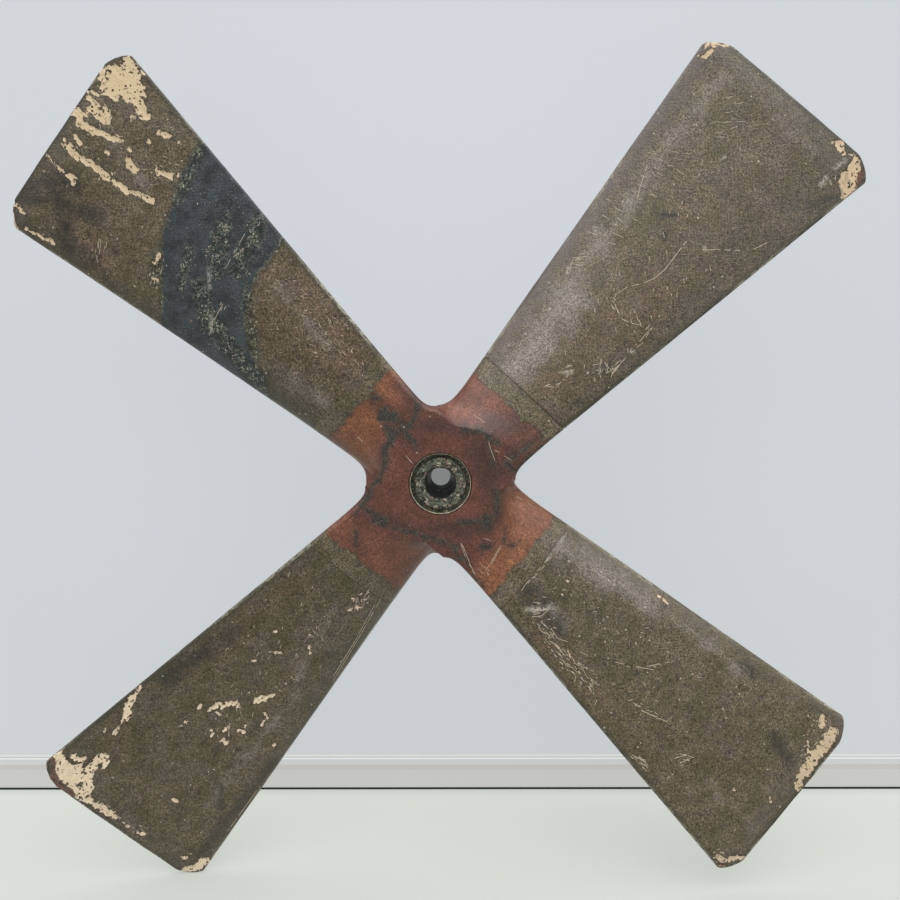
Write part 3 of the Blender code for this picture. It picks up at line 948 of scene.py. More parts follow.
def linen_sleeve(place):
    hem, wear, angle = HEMS[place], WORN_TIPS[place], angles[place]
    stations = sleeve_stations(hem)
    outer = [ring(u, SLEEVE_STEPS, inset, wear) for u, inset in stations]
    inner_stations = [hem, hem + 0.002] + COARSE_STATIONS
    inner = [ring(u, SLEEVE_STEPS, LINEN_THICKNESS, wear) for u in inner_stations]
    rings = inner[::-1] + outer
    blade = np.concatenate(rings)
    count = len(outer[0])
    mesh = make_mesh("linen_" + place, to_world(blade, angle), tube_faces(len(rings), count))
    facing = turned_forwards(mesh)
    blade_mm = blade / MM
    outside = np.zeros(len(blade))
    outside[len(inner) * count:] = 1
    depth = bare_depth(place, blade_mm, facing)
    waves = SLOW_WAVES * np.minimum(grain_noise(blade_mm, (34, 17, 20), 9), 0.1)
    waves += FINE_WAVES * np.minimum(grain_noise(blade_mm, (5, 4, 5), 10), 0.2)
    lip = CHIP_LIP * np.exp(-((depth + 0.5) / 0.5) ** 2)
    chips = lip - CHIP_DEPTH * ease(depth, -0.25, 0.45)
    hem_roll = -0.6 * HEM_GAPS[place] * (1 - ease(blade_mm[:, 0], hem / MM, hem / MM + HEM_ROLL))
    push_out(mesh, outside * (waves + chips + hem_roll))
    keep_values(mesh, "along", blade_mm)
    keep_values(mesh, "outside", outside)
    keep_values(mesh, "bare", stored(depth))
    all_stations = inner_stations[::-1] + [u for u, inset in stations]
    keep_values(mesh, "margins", margins(all_stations, blade, count) / MM)
    plan, front_only = blade_mm[:, :2], ease(facing, *FRONT_ONLY)
    for label, strokes, softness in SOFT_FIELDS:
        keep_values(mesh, label, soft_field(plan, strokes.get(place, []), softness) * front_only)
    if place == BANDED:
        keep_values(mesh, "band", stored(band_depth(*plan.T) / 4))
    return mesh


sleeve_meshes = {place: linen_sleeve(place) for place in PLACES}
print("triangles in a sleeve:", {place: len(mesh.loop_triangles) for place, mesh in sleeve_meshes.items()})

# %% [markdown]
# ## The two wooden pairs
# Each pair of blades is one board from tip to tip. In the hub the two are halved together, like
# the bars of a window. The board is made as one long tube, dense where the wood shows and coarse
# under the linen, where it is planed down to make room for the cloth. Then blocks and rods are cut
# out of it with the Boolean modifier for the lap, the bush and the collar. The joint on the
# real one is glued and varnished over, so only a hairline is left.

# %% The rings of a board; a pair is its two blades and the side on which it is halved
WOOD_STEPS = (100, 60)
ROOT_STATIONS = 74
HUB_STATIONS = 30
PAIRS = {"blade_pair_front": ("upper_left", "lower_right", -1),
         "blade_pair_rear": ("upper_right", "lower_left", 1)}


def half_board(place, out):
    """Rings of one blade from the boss to its tip; out is 1, or -1 for the far side of the pair."""
    hem, wear, gap = HEMS[place], WORN_TIPS[place], HEM_GAPS[place]
    bed = LINEN_THICKNESS + FIT_GAP
    shown = [(u, 0.0) for u in np.linspace(RIM_INNER, hem - gap, ROOT_STATIONS)]
    lap = [(hem - gap * 0.9, bed), (hem + 0.004, bed)]
    hidden = [(u, bed) for u in COARSE_STATIONS]
    return [ring(out * u, WOOD_STEPS, inset, wear) for u, inset in shown + lap + hidden]


def board_rings(first, second):
    between_blades = np.linspace(RIM_INNER, -RIM_INNER, HUB_STATIONS)[1:-1]
    return half_board(first, 1)[::-1] + [ring(u, WOOD_STEPS) for u in between_blades] + half_board(second, -1)


print("rings of a board:", len(board_rings("upper_left", "lower_right")))


# %% Cutting with the Boolean modifier
def plain_mesh(thing):
    """The mesh that an object's modifiers make; the object itself goes."""
    evaluated = thing.evaluated_get(bpy.context.evaluated_depsgraph_get())
    mesh = bpy.data.meshes.new_from_object(evaluated)
    bpy.data.objects.remove(thing)
    return mesh


def cut_away(mesh, tools):
    """Cuts closed tools out of a mesh and returns the result as a new mesh."""
    body = into_scene("body", mesh)
    helpers = [into_scene("tool", tool) for tool in tools]
    for helper in helpers:
        modifier = body.modifiers.new("cut", "BOOLEAN")
        modifier.operation = "DIFFERENCE"
        modifier.solver = "MANIFOLD"
        modifier.object = helper
    result = plain_mesh(body)
    for helper in helpers:
        bpy.data.objects.remove(helper)
    return result


print("the mesh of an object's modifiers: plain_mesh")


# %% Shapes to cut with
def prism(outline, low, high, angle=0.0):
    """A closed block with this outline between two heights."""
    rings = [np.array([(u, v, d) for u, v in outline]) for d in (low, high)]
    return make_mesh("tool", to_world(np.concatenate(rings), angle), tube_faces(2, len(outline)))


def round_outline(radius, steps=160):
    turns = np.linspace(0, 2 * math.pi, steps, endpoint=False)
    return [(radius * math.cos(t), radius * math.sin(t)) for t in turns]


def turned(profile, steps):
    """A solid turned about the axis from a closed profile of (radius, depth)."""
    turns = np.linspace(0, 2 * math.pi, steps, endpoint=False)
    rings = [[(r * math.cos(t), -d, r * math.sin(t)) for r, d in profile] for t in turns]
    count = len(profile)
    points = np.array(rings).reshape(-1, 3)
    faces = []
    for row in range(steps):
        ahead = (row + 1) % steps
        for i in range(count):
            j = (i + 1) % count
            faces.append((row * count + i, ahead * count + i, ahead * count + j, row * count + j))
    return make_mesh("turned", points, faces)


print("a rod of 13 mm has", len(prism(round_outline(0.013), 0.0, 0.01).polygons), "faces")

# %% The two pairs
HAIRLINE = 0.00004
BUSH = {"sleeve": 0.013, "flange": 0.0182, "bed": 0.0107, "collar_bed": -0.0119}
MOUTH_ROUND = 0.0004
PAST = 0.05                # well past the wood
MOUTH_TOP = 0.03
BLOCK_REACH = 0.06
AXIS = 0.0001


def wooden_pair(name):
    first, second, side = PAIRS[name]
    angle = angles[first]
    rings = board_rings(first, second)
    mesh = make_mesh(name, to_world(np.concatenate(rings), angle), tube_faces(len(rings), len(rings[0])))
    reach = HALF_BOARD + HAIRLINE
    outline = [(-reach, -BLOCK_REACH), (reach, -BLOCK_REACH), (reach, BLOCK_REACH), (-reach, BLOCK_REACH)]
    mouth = BUSH["flange"] + FIT_GAP
    rim = mouth + MOUTH_ROUND
    mouth_profile = [(AXIS, BUSH["bed"]), (mouth, BUSH["bed"]), (mouth, HALF_HUB - MOUTH_ROUND),
                     (rim, HALF_HUB + AXIS), (rim, MOUTH_TOP), (AXIS, MOUTH_TOP)]
    tools = [prism(outline, *sorted((-side * HAIRLINE / 2, side * PAST)), angle),
             prism(round_outline(BUSH["sleeve"] + FIT_GAP), -PAST, PAST),
             turned(mouth_profile, 160),
             prism(round_outline(mouth), -PAST, BUSH["collar_bed"])]
    return cut_away(mesh, tools)


pair_meshes = {name: wooden_pair(name) for name in PAIRS}
for name, mesh in pair_meshes.items():
    mesh.calc_loop_triangles()
    print(name, "triangles:", len(mesh.loop_triangles))

# %% [markdown]
# ## Stains, painted shade and repaint on the wood
# The cut mesh has new points, so its fields are worked out from their places afterwards. Grease
# from the machine crept along the rim of the boss and into the scoops, and the dark lines in the
# creases along the rim are dirt and painted shade, as are some darker patches near the crotches.
# The olive paint of the cloth was brushed a centimetre on over the bare wood, with a ragged front.

# %% Stains and painted shade on the hub, in millimetres right and up
GREASE = [
    (1.6, -13, 46, -14, 40, -18, 34, -27, 30), (4.4, -33, 41, -28, 39), (3.0, -30, 33, -28, 28),
    (1.8, -27, 28, -32, 20, -33, 10), (1.2, -33, 10, -36, 3, -41, -2), (1.8, -41, -4, -46, -13),
    (1.2, -39, 51, -36, 50), (3.2, -34, -22, -37, -20), (1.0, -27, -26, -15, -30, 0, -34),
    (1.0, -50, -28, -50, -38), (2.0, 26, -22, 12, -23), (2.4, 27, -20, 28, -25), (1.0, 33, -5, 34, -15),
    (1.6, 33, -14, 33, -18), (1.4, 13, 32, 25, 31), (1.8, 38, 12, 44, 8), (2.0, 25, -37, 30, -38),
    (0.8, 38, -28, 38, -36), (1.2, 8, -38, 12, -45), (0.8, 29, 24, 31, 10), (1.2, 40, -37, 44, -38),
    (0.9, 20, -56, 26, -62), (1.2, 60, 28, 66, 31), (1.0, 44, 9, 56, 19), (2.4, 52, 14, 60, 20),
    (1.6, 26, 30, 33, 24), (1.2, -14, 22, -20, 30), (1.4, -44, -14, -36, -22),
]
# dark lines in the creases along the boss's rims: dirt and painted shade, kept in the grease field
CREASE_DIRT_AND_SHADE = [
    (0.7, -22, 36, -27, 30, -31, 22, -33, 12, -35, 4, -41, -3), (0.6, -41, -5, -46, -12, -50, -18),
    (0.8, -30, -25, -20, -28, -8, -31, 2, -34, 10, -38), (0.7, 34, -4, 34, -12, 30, -20, 25, -26),
    (0.6, 14, 33, 22, 31, 31, 28), (0.6, 38, 13, 46, 18, 54, 24), (0.5, 12, -38, 16, -48, 22, -58),
]
# darker patches: grime, and near the crotches a painted shade over the sheen
GRIME_AND_SHADE = [
    (7, 22, 20, 33, 6), (5, 30, -4, 33, -18), (6, 44, 18, 62, 30), (5, -28, -22, -8, -30),
    (5, -40, 50, -24, 34), (4, 14, -30, 26, -26), (4, -8, 34, 14, 33), (8, 32, 36, 50, 34),
    (5, -24, 58, -12, 50), (7, 27, 5, 32, -8), (6, -4, -26, 8, -26),
]
print("stains on the hub:", len(GREASE), "grease,", len(CREASE_DIRT_AND_SHADE), "creases,", len(GRIME_AND_SHADE), "grime_and_shade")

# %% Waves and stains for each pair, and where the olive paint starts
OLIVE_START = {"upper_right": 61, "upper_left": 66, "lower_left": 67, "lower_right": 67}
STAINS_FACE = (-0.1, 0.3)  # how far a point faces forwards where the stains fade in


def carved_freely(place, blade):
    """1 where the wood may wave, 0 at the bush, the joint and the hems, which have to fit."""
    radius = np.hypot(place[:, 0], place[:, 2])
    along, across = np.abs(blade[:, 0]), np.abs(blade[:, 1])
    free = ease(radius, 0.0205, 0.024) * (along > 0.001) * ease(-along, -0.0725, -0.070)
    joint = ease(np.abs(along - HALF_BOARD), 0.0003, 0.003)
    return free * joint * ease(np.abs(across - HALF_BOARD), 0.0001, 0.002)


def dress_wood(name):
    """Carves the slow waves of hand work and stores the fields that the varnish reads."""
    mesh = pair_meshes[name]
    first, second = PAIRS[name][:2]
    place = point_vectors(mesh)
    facing = turned_forwards(mesh)
    blade = to_blade(place, angles[first])
    out = np.where(blade[:, 0] < 0, -1.0, 1.0)
    own = blade * np.stack([out, out, np.ones(len(out))], 1) / MM
    start = np.where(blade[:, 0] > 0, OLIVE_START[first], OLIVE_START[second])
    ragged = 2.6 * grain_noise(own, (9, 5, 9), 21) + 1.8 * grain_noise(own, (2.6, 1.8, 2.6), 22)
    plan = np.stack([place[:, 0], place[:, 2]], 1) / MM
    blotch = grain_noise(place / MM, 5, 23)
    fringe = grain_noise(place / MM, 1.5, 24)
    grease = stroke_depth(plan, GREASE, 0.4 * blotch, 0.8 * fringe)
    crease_dirt_and_shade = stroke_depth(plan, CREASE_DIRT_AND_SHADE, 0.5 * blotch, 0.5 * fringe)
    front_only = ease(facing, *STAINS_FACE)
    waves = 0.00028 * np.minimum(grain_noise(place / MM, 15, 25), 0.0)
    waves += 0.00008 * np.minimum(grain_noise(own, (6, 2.6, 5), 26), 0.0)
    push_out(mesh, carved_freely(place, blade) * waves)
    keep_values(mesh, "along", own)
    keep_values(mesh, "olive", stored(own[:, 0] - start + ragged))
    keep_values(mesh, "grease", stored(mix(-LEVEL, np.maximum(grease, crease_dirt_and_shade), front_only)))
    keep_values(mesh, "grime_and_shade", soft_field(plan, GRIME_AND_SHADE, 2.0) * front_only)
    keep_values(mesh, "scoop", outside_boss(own[:, 0] * MM, own[:, 1] * MM))


for name, mesh in pair_meshes.items():
    dress_wood(name)
    print(name, "carries:", [layer.name for layer in mesh.attributes if layer.domain == "POINT"])

# %% [markdown]
# ## Bush and collar
# The bush is a turned bronze: a flange with a dished face, a thin lip round it that catches the
# light, and a bore that narrows away from the viewer for the tapered end of a shaft. Turned work
# is a profile swung about an axis, with many steps so that it stays round in a close view.
# Its corners are arcs, and a little noise pits the faces.

# %% Profiles and pits
def arc(centre, radius, start, end, steps=5):
    """Points of a circle's arc in a profile, angles in degrees."""
    turns = np.radians(np.linspace(start, end, steps))
    return [(centre[0] + radius * math.cos(t), centre[1] + radius * math.sin(t)) for t in turns]


def finer(profile, step=0.0006):
    """The same closed profile with long runs divided up."""
    points = []
    for a, b in zip(profile, profile[1:] + profile[:1]):
        count = max(1, int(math.hypot(b[0] - a[0], b[1] - a[1]) / step))
        points += [(mix(a[0], b[0], i / count), mix(a[1], b[1], i / count)) for i in range(count)]
    return points


def pitted(mesh, amount, size, seed):
    """Pits a cast or corroded face by moving each point along its normal."""
    place = point_vectors(mesh) / MM
    lumps = grain_noise(place, size, seed) + 0.6 * grain_noise(place, size / 3, seed)
    push_out(mesh, amount * np.minimum(lumps, 0.15))


print("a quarter arc has", len(arc((0.0, 0.0), 1.0, 0, 90)), "points")

# %% Bush and collar; profiles are (radius, depth) in metres, outwards from the bore
BUSH_STEPS = 192
FACE_PITS = 0.00016
BUSH_PROFILE = [
    (0.0091, 0.0147), *arc((0.0106, 0.01545), 0.0006, 135, 90, 4), (0.0127, 0.0161),
    *arc((0.0147, 0.0154), 0.0006, 90, 20), (0.0157, 0.0140), (0.0171, 0.0139), (0.0174, 0.0144),
    *arc((0.01785, 0.0170), 0.00025, 180, 0), (0.0182, 0.0164), (0.0182, 0.0111), (0.0130, 0.0111),
    (0.0130, -0.0168), (0.0128, -0.0170), (0.0062, -0.0170), (0.0059, -0.0167)]
COLLAR_PROFILE = [
    (0.0133, -0.0124), (0.0181, -0.0124), *arc((0.0172, -0.0157), 0.0009, 0, -90, 6),
    *arc((0.0138, -0.0162), 0.0004, -90, -180, 4)]

bush = turned(finer(BUSH_PROFILE), BUSH_STEPS)
pitted(bush, FACE_PITS, 2.2, 31)
collar = turned(finer(COLLAR_PROFILE), BUSH_STEPS)
pitted(collar, FACE_PITS / 2, 2.0, 33)
print("bush points:", len(bush.vertices), "collar points:", len(collar.vertices))

# %% [markdown]
# ## Effects that several finishes share
# Cloth, paint, wood and metal here have things in common: a mottle of soft clouds and small spots,
# a ragged edge where one coat ends and the next shows, streaks along the grain, fine cracks and
# scattered specks. Each is built once as a node group with named inputs and outputs, and put in
# the materials with values of its own. Sizes are in millimetres throughout.

# %% Making and using a tree of nodes
def new_tree(kind, name, inputs, outputs):
    """A tree with named sockets, each with its value, or its kind where it has no value."""
    tree = bpy.data.node_groups.new(name, kind)
    for side, sockets in (("INPUT", inputs), ("OUTPUT", outputs)):
        for label, value in sockets.items():
            bare = isinstance(value, str)
            socket_type = "NodeSocket" + (value if bare else type(value).__name__.capitalize())
            socket = tree.interface.new_socket(label, in_out=side, socket_type=socket_type)
            if not bare:
                socket.default_value = value
    return tree, tree.nodes.new("NodeGroupInput").outputs, tree.nodes.new("NodeGroupOutput").inputs


def new_group(name, inputs, *outputs):
    """A shader group whose outputs are plain values."""
    return new_tree("ShaderNodeTree", name, inputs, dict.fromkeys(outputs, "Float"))


def use(tree, group, **inputs):
    """Places a group in a material and returns its outputs by name."""
    node = tree.nodes.new("ShaderNodeGroup")
    node.node_tree = group
    feed(tree, node, **inputs)
    return node.outputs


print("a float socket is called NodeSocket" + type(1.0).__name__.capitalize())


# %% Weave: threads that pass over and under each other
def weave_group():
    tree, into, out = new_group(
        "linen_weave", {"Along": "Vector", "Pitch": 1.2, "Unevenness": 0.6}, "Height", "Gaps")
    wander = rough_noise(tree, into["Along"], 0.16)
    parts = add(tree, "ShaderNodeSeparateXYZ", {0: into["Along"]}).node.outputs
    waves = []
    for axis in (0, 1):
        shifted = total(tree, parts[axis], product(tree, wander, 6.0))
        turns = maths(tree, "DIVIDE", product(tree, shifted, math.pi), into["Pitch"])
        waves.append(maths(tree, "SINE", turns))
    crossing = product(tree, waves[0], waves[1])
    thick = rough_noise(tree, stretched(tree, into["Along"], (0.5, 0.9, 0.9)), 0.9, roughness=0.7)
    uneven = product(tree, thick, into["Unevenness"])
    put(tree, out["Height"], total(tree, product(tree, crossing, 0.3), uneven))
    low = [maths(tree, "ABSOLUTE", wave) for wave in waves]
    put(tree, out["Gaps"], span(tree, maths(tree, "MAXIMUM", *low), 0.75, 0.35))
    return tree


weave = weave_group()
print("effect:", weave.name)


# %% Mottle: soft clouds, small spots, worm-like marks and grit
def mottle_group():
    tree, into, out = new_group(
        "mottle", {"Place": "Vector", "Size": 20.0, "Seed": 0.0}, "Cloud", "Spots", "Worms", "Grit")
    shift = add(tree, "ShaderNodeCombineXYZ", {0: into["Seed"], 1: into["Seed"]})
    moved = vectors(tree, "ADD", into["Place"], shift)
    scale = maths(tree, "DIVIDE", 1.0, into["Size"])
    put(tree, out["Cloud"], blots(tree, moved, scale, 0.36, 0.64, detail=4.0, roughness=0.6))
    put(tree, out["Spots"], blots(tree, moved, 0.5, 0.56, 0.66, roughness=0.7))
    worms = blots(tree, moved, 0.42, 0.34, 0.66, detail=2.0, roughness=0.6, distortion=2.2)
    put(tree, out["Worms"], worms)
    put(tree, out["Grit"], blots(tree, moved, 0.95, 0.35, 0.65, detail=4.0, roughness=0.75))
    return tree


mottle = mottle_group()
print("effect:", mottle.name)


# %% Wood grain
def grain_group():
    tree, into, out = new_group("wood_grain", {"Along": "Vector", "Fineness": 1.0}, "Streaks", "Pores")
    long = stretched(tree, into["Along"], (0.035, 0.55, 0.55))
    fine = {"detail": 5.0, "roughness": 0.65, "distortion": 0.4}
    put(tree, out["Streaks"], blots(tree, long, into["Fineness"], 0.3, 0.72, **fine))
    short = stretched(tree, into["Along"], (0.3, 2.6, 2.6))
    put(tree, out["Pores"], blots(tree, short, into["Fineness"], 0.6, 0.7, detail=1.0))
    return tree


grain = grain_group()
print("effect:", grain.name)


# %% Cracks that wander
def crackle_group():
    tree, into, out = new_group("crackle", {"Place": "Vector", "Cell": 3.0, "Width": 0.08}, "Lines")
    pushed = product(tree, rough_noise(tree, into["Place"], 0.5), 5.0)
    inputs = {"Vector": vectors(tree, "ADD", into["Place"], pushed),
              "Scale": maths(tree, "DIVIDE", 1.0, into["Cell"])}
    apart = add(tree, "ShaderNodeTexVoronoi", inputs, feature="DISTANCE_TO_EDGE")
    put(tree, out["Lines"], span(tree, apart, into["Width"], 0.0))
    return tree


crackle = crackle_group()
print("effect:", crackle.name)


# %% Specks that keep to a share of their cells
def speck_group():
    tree, into, out = new_group(
        "specks", {"Place": "Vector", "Cell": 4.0, "Radius": 0.12, "Share": 0.2}, "Mask")
    inputs = {"Vector": into["Place"], "Scale": maths(tree, "DIVIDE", 1.0, into["Cell"])}
    cells = add(tree, "ShaderNodeTexVoronoi", inputs).node
    lot = add(tree, "ShaderNodeSeparateColor", {0: cells.outputs["Color"]})
    chosen = maths(tree, "LESS_THAN", lot, into["Share"])
    rough = product(tree, rough_noise(tree, into["Place"], 1.3), 0.24)
    size = total(tree, into["Radius"], maths(tree, "SUBTRACT", rough, 0.12))
    disc = maths(tree, "LESS_THAN", cells.outputs["Distance"], size)
    put(tree, out["Mask"], product(tree, disc, chosen))
    return tree


specks = speck_group()
print("effect:", specks.name)


# %% The edge where one coat ends, with islands of it left inside
def worn_group():
    tree, into, out = new_group(
        "worn_edge", {"Field": 0.0, "Along": "Vector", "Raggedness": 5.0}, "Bare", "Rim")
    long, short = (stretched(tree, into["Along"], shape) for shape in ((0.7, 1.0, 1.0), (0.8, 1.1, 1.0)))
    coarse = rough_noise(tree, long, 0.42, detail=2.0)
    fine = rough_noise(tree, short, 1.0, roughness=0.7)
    rough = total(tree, product(tree, coarse, 0.5), product(tree, fine, 0.5))
    shift = product(tree, maths(tree, "SUBTRACT", rough, 0.5), into["Raggedness"])
    field = total(tree, into["Field"], maths(tree, "DIVIDE", shift, LEVEL))
    islands = blots(tree, into["Along"], 0.5, 0.60, 0.615, roughness=0.6)
    open_wood = maths(tree, "SUBTRACT", 1.0, islands)
    put(tree, out["Bare"], product(tree, span(tree, field, 0.49, 0.52), open_wood))
    near = span(tree, field, 0.36, 0.49)
    put(tree, out["Rim"], product(tree, near, near))
    return tree


worn = worn_group()
print("effect:", worn.name)

# %% [markdown]
# ## Painted linen
# Under the paint the threads still show as a fine grid of dots. The olive itself is uneven: soft
# clouds that lean to brown or to green, small dark spots and worm-like marks where it shrank. The
# nose and the tip are greyed by dust, and the nose also has painted light: a grey sheen where it
# turns up and a painted shade where it turns down. Across each blade the paint is painted lighter
# or darker as its faces turn to or from the light. The trailing edge is dark, and at the tip end
# that darkening is a painted shade where the bevel turns away. The edges are rubbed pale along
# their very corners. Towards the hem the coat is pitted. Where the worn field rises the wood
# shows, with crumbs of paint left on it, and a knocked corner shows dark, crushed wood instead.

# %% Tones of each blade: the olive's deepest, green, brown and pale, the nose (dust and painted light), dust and bare wood
OLIVE_TONES = {
    "upper_right": ("1f1c13", "474225", "4f432c", "695e44"),
    "upper_left": ("1e1c14", "464126", "534530", "6a5f48"),
    "lower_left": ("1f1c14", "454026", "4a412b", "62583f"),
    "lower_right": ("1f1c13", "464125", "4b422a", "645a3f"),
}
# the nose's tone and strength: dust with painted light, a grey sheen where the nose turns up and a painted
# shade on the upper left, where it turns down
NOSE_DUST_AND_LIGHT = {"upper_right": ("544b4e", 0.75), "upper_left": ("2a2b27", 0.6),
              "lower_left": ("46413b", 0.5), "lower_right": ("524c43", 0.5)}
# painted light and shade across each blade: how much the paint is brightened or darkened at the
# trailing edge, in the middle and at the nose, as its faces turn to or from the light
PAINTED_LIGHT_ACROSS = {"upper_right": (0.74, 0.95, 1.04), "upper_left": (1.08, 1.04, 0.98),
          "lower_left": (0.92, 1.0, 1.1), "lower_right": (1.04, 0.98, 1.02)}
DUST = {"upper_right": 0.3, "upper_left": 0.2, "lower_left": 0.2, "lower_right": 0.4}
BARE_WOOD = {"upper_right": ("a58e72", "c4ad8e"), "upper_left": ("b39a79", "d2bc9c"),
             "lower_left": ("bba587", "e0cbb0"), "lower_right": ("a08c72", "c0ab8e")}
KNOCKED_WOOD = ("2e1d1a", "643f34")
PITTED = {"upper_right": 0.15, "upper_left": 0.5, "lower_left": 0.3, "lower_right": 0.5}
BAND_TONES = ("1f2428", "383f44")
PALE_CRUMB = "aaa792"
VIOLET = "544a4c"
print("tones:", {place: tones[1:3] for place, tones in OLIVE_TONES.items()})


# %% Olive dope
def millimetres(tree):
    return shaded(tree, add(tree, "ShaderNodeTexCoord", out="Object"), 1 / MM)


def centred(tree, *noise_inputs, **noise_settings):
    """Noise from -0.5 to 0.5, to shake an edge with."""
    return maths(tree, "SUBTRACT", rough_noise(tree, *noise_inputs, **noise_settings), 0.5)


def olive_colour(tree, place, along, tones, seed):
    """The painted colour and the parts that its bump needs."""
    deep, green, brown, pale = tones
    wide = use(tree, mottle, Place=place, Size=34.0, Seed=seed)
    close = use(tree, mottle, Place=place, Size=8.0, Seed=seed + 9.0)
    threads = use(tree, weave, Along=along)
    apart = use(tree, mottle, Place=place, Size=13.0, Seed=seed + 21.0)
    base = blend(tree, wide["Cloud"], green, brown)
    violet = coat(tree, base, VIOLET, apart["Cloud"], 0.45)
    aged = coat(tree, violet, pale, close["Cloud"], 0.45)
    spotted = coat(tree, aged, deep, close["Spots"], 0.5)
    dotted = coat(tree, spotted, deep, threads["Gaps"], 0.3)
    grit = between(tree, close["Grit"], 0.1, 2.0)
    worms = between(tree, close["Worms"], 0.62, 1.38)
    drift = between(tree, apart["Cloud"], 0.88, 1.1)
    return shaded(tree, dotted, grit, worms, drift), threads, close


print("olive dope ready")


# %% Bare wood, torn and crushed where it was knocked
def bare_colour(tree, place, along, tones):
    streaks = use(tree, grain, Along=along, Fineness=1.2)
    dark, light = tones
    wood = coat(tree, light, dark, streaks["Streaks"], 0.6)
    porous = coat(tree, wood, "83603f", streaks["Pores"], 0.35)
    torn = centred(tree, place, 0.6, detail=4.0, roughness=0.7)
    knocked = span(tree, total(tree, attribute(tree, "knocked"), torn), 0.4, 0.55)
    broken = blots(tree, place, 1.1, 0.4, 0.62, detail=4.0)
    crushed = blend(tree, broken, *KNOCKED_WOOD)
    stained = coat(tree, porous, crushed, knocked, 0.92)
    crumbs = use(tree, specks, Place=place, Cell=2.6, Radius=0.27, Share=0.16)
    return blend(tree, crumbs["Mask"], stained, "39312a")


print("bare wood ready")

# %% Wear, dust and painted light along the edges of a blade, in millimetres from them: where it starts and where it is full
NOSE_REACH = (13.0, 3.0)
TIP_REACH = (18.0, 11.0)
DARK_REACH = (4.6, 0.8)
CORNER_REACH = (1.9, 0.7)


def edged(tree, paint, place, along, place_name):
    """Paints light and shade across, greys nose and tip, darkens trailing edge and tip end, rubs corners
    pale.
    """
    parts = add(tree, "ShaderNodeSeparateXYZ", {0: attribute(tree, "margins", "Vector")})
    trailing, leading, tip = parts.node.outputs
    # painted light and shade: brighter or darker across the blade as its faces turn to or from the light
    share = maths(tree, "DIVIDE", trailing, total(tree, trailing, leading))
    first, middle, last = PAINTED_LIGHT_ACROSS[place_name]
    rise = span(tree, share, 0.1, 0.5, first, middle)
    paint = shaded(tree, paint, total(tree, rise, span(tree, share, 0.5, 0.9, 0.0, last - middle)))
    cloud = use(tree, mottle, Place=place, Size=12.0, Seed=33.0)["Cloud"]
    # the nose: dust, and painted light: a sheen where it turns up, a shade where it turns down
    tone, strength = NOSE_DUST_AND_LIGHT[place_name]
    nose = product(tree, span(tree, leading, *NOSE_REACH), between(tree, cloud, 0.4, 1.0), strength)
    nosed = blend(tree, nose, paint, tone)
    end = span(tree, tip, *TIP_REACH)
    dusty = coat(tree, nosed, "5c5653", end, cloud, DUST[place_name])
    # darker near the trailing edge and the tip end; at the tip this is a painted shade where the bevel turns
    # away
    closest = maths(tree, "MINIMUM", trailing, tip)
    dark = coat(tree, dusty, "26261e", span(tree, closest, *DARK_REACH), 0.66)
    streaky = rough_noise(tree, stretched(tree, along, (0.5, 1.5, 1.5)), 0.5, detail=4.0, roughness=0.7)
    patchy = blots(tree, place, 0.03, 0.42, 0.58, detail=2.0)
    very_edge = span(tree, maths(tree, "MINIMUM", closest, leading), *CORNER_REACH)
    rubbed = product(tree, very_edge, span(tree, streaky, 0.44, 0.54), patchy)
    return coat(tree, dark, "a09a84", rubbed, 0.7)


print("edges worn over", NOSE_REACH[0], "mm at the nose and", TIP_REACH[0], "mm at the tip")


# %% The dark band with its cracked, paler sides
def banded(tree, paint, place, close):
    field = attribute(tree, "band")
    ragged = product(tree, centred(tree, place, 0.35, detail=5.0, roughness=0.65), 0.3)
    side = total(tree, field, ragged)
    inside = span(tree, side, 0.495, 0.51)
    grit = between(tree, close["Grit"], 0.45, 1.6)
    band = shaded(tree, blend(tree, close["Cloud"], *BAND_TONES), grit)
    line = span(tree, maths(tree, "ABSOLUTE", maths(tree, "SUBTRACT", side, 0.5)), 0.026, 0.004)
    patchy = blots(tree, place, 0.05, 0.44, 0.54)
    broken = span(tree, close["Grit"], 0.35, 0.75)
    dark_side = span(tree, maths(tree, "ABSOLUTE", maths(tree, "SUBTRACT", side, 0.47)), 0.06, 0.01)
    shaded_side = coat(tree, paint, "20221c", dark_side, 0.55)
    coated = blend(tree, inside, shaded_side, band)
    outlined = coat(tree, coated, "9da28b", line, patchy, broken)
    sparkle = blots(tree, place, 1.0, 0.61, 0.67, detail=2.0)
    worn_off = blots(tree, place, 0.1, 0.46, 0.62, 0.05, 0.6, detail=4.0)
    return coat(tree, outlined, "8a9082", inside, sparkle, worn_off), inside


print("band tones:", BAND_TONES)


# %% Flecks and chalk marks
def flecks(tree, paint, place):
    """Ground gone dark where the paint has lifted, with fine pale crazing and crumbs left on it."""
    amount = attribute(tree, "flecked")
    fine = use(tree, crackle, Place=place, Cell=2.8, Width=0.055)["Lines"]
    crumbs = blots(tree, place, 0.85, 0.605, 0.64, detail=2.0, roughness=0.6)
    patchy = blots(tree, place, 0.2, 0.42, 0.58)
    lifted = blots(tree, place, 0.6, 0.40, 0.52)
    dark = coat(tree, paint, "0f120e", amount, lifted, 0.85)
    pale = product(tree, maths(tree, "MAXIMUM", product(tree, fine, 0.55), crumbs), amount, patchy)
    return blend(tree, pale, dark, "a8ad92")


def chalk(tree, paint, place):
    """Milky scuffs, torn at their edges."""
    torn = blots(tree, place, 0.7, 0.42, 0.54, detail=4.0, roughness=0.7)
    return coat(tree, paint, "b8b3a6", attribute(tree, "chalked"), torn, 0.62)


print("flecks and chalk ready")


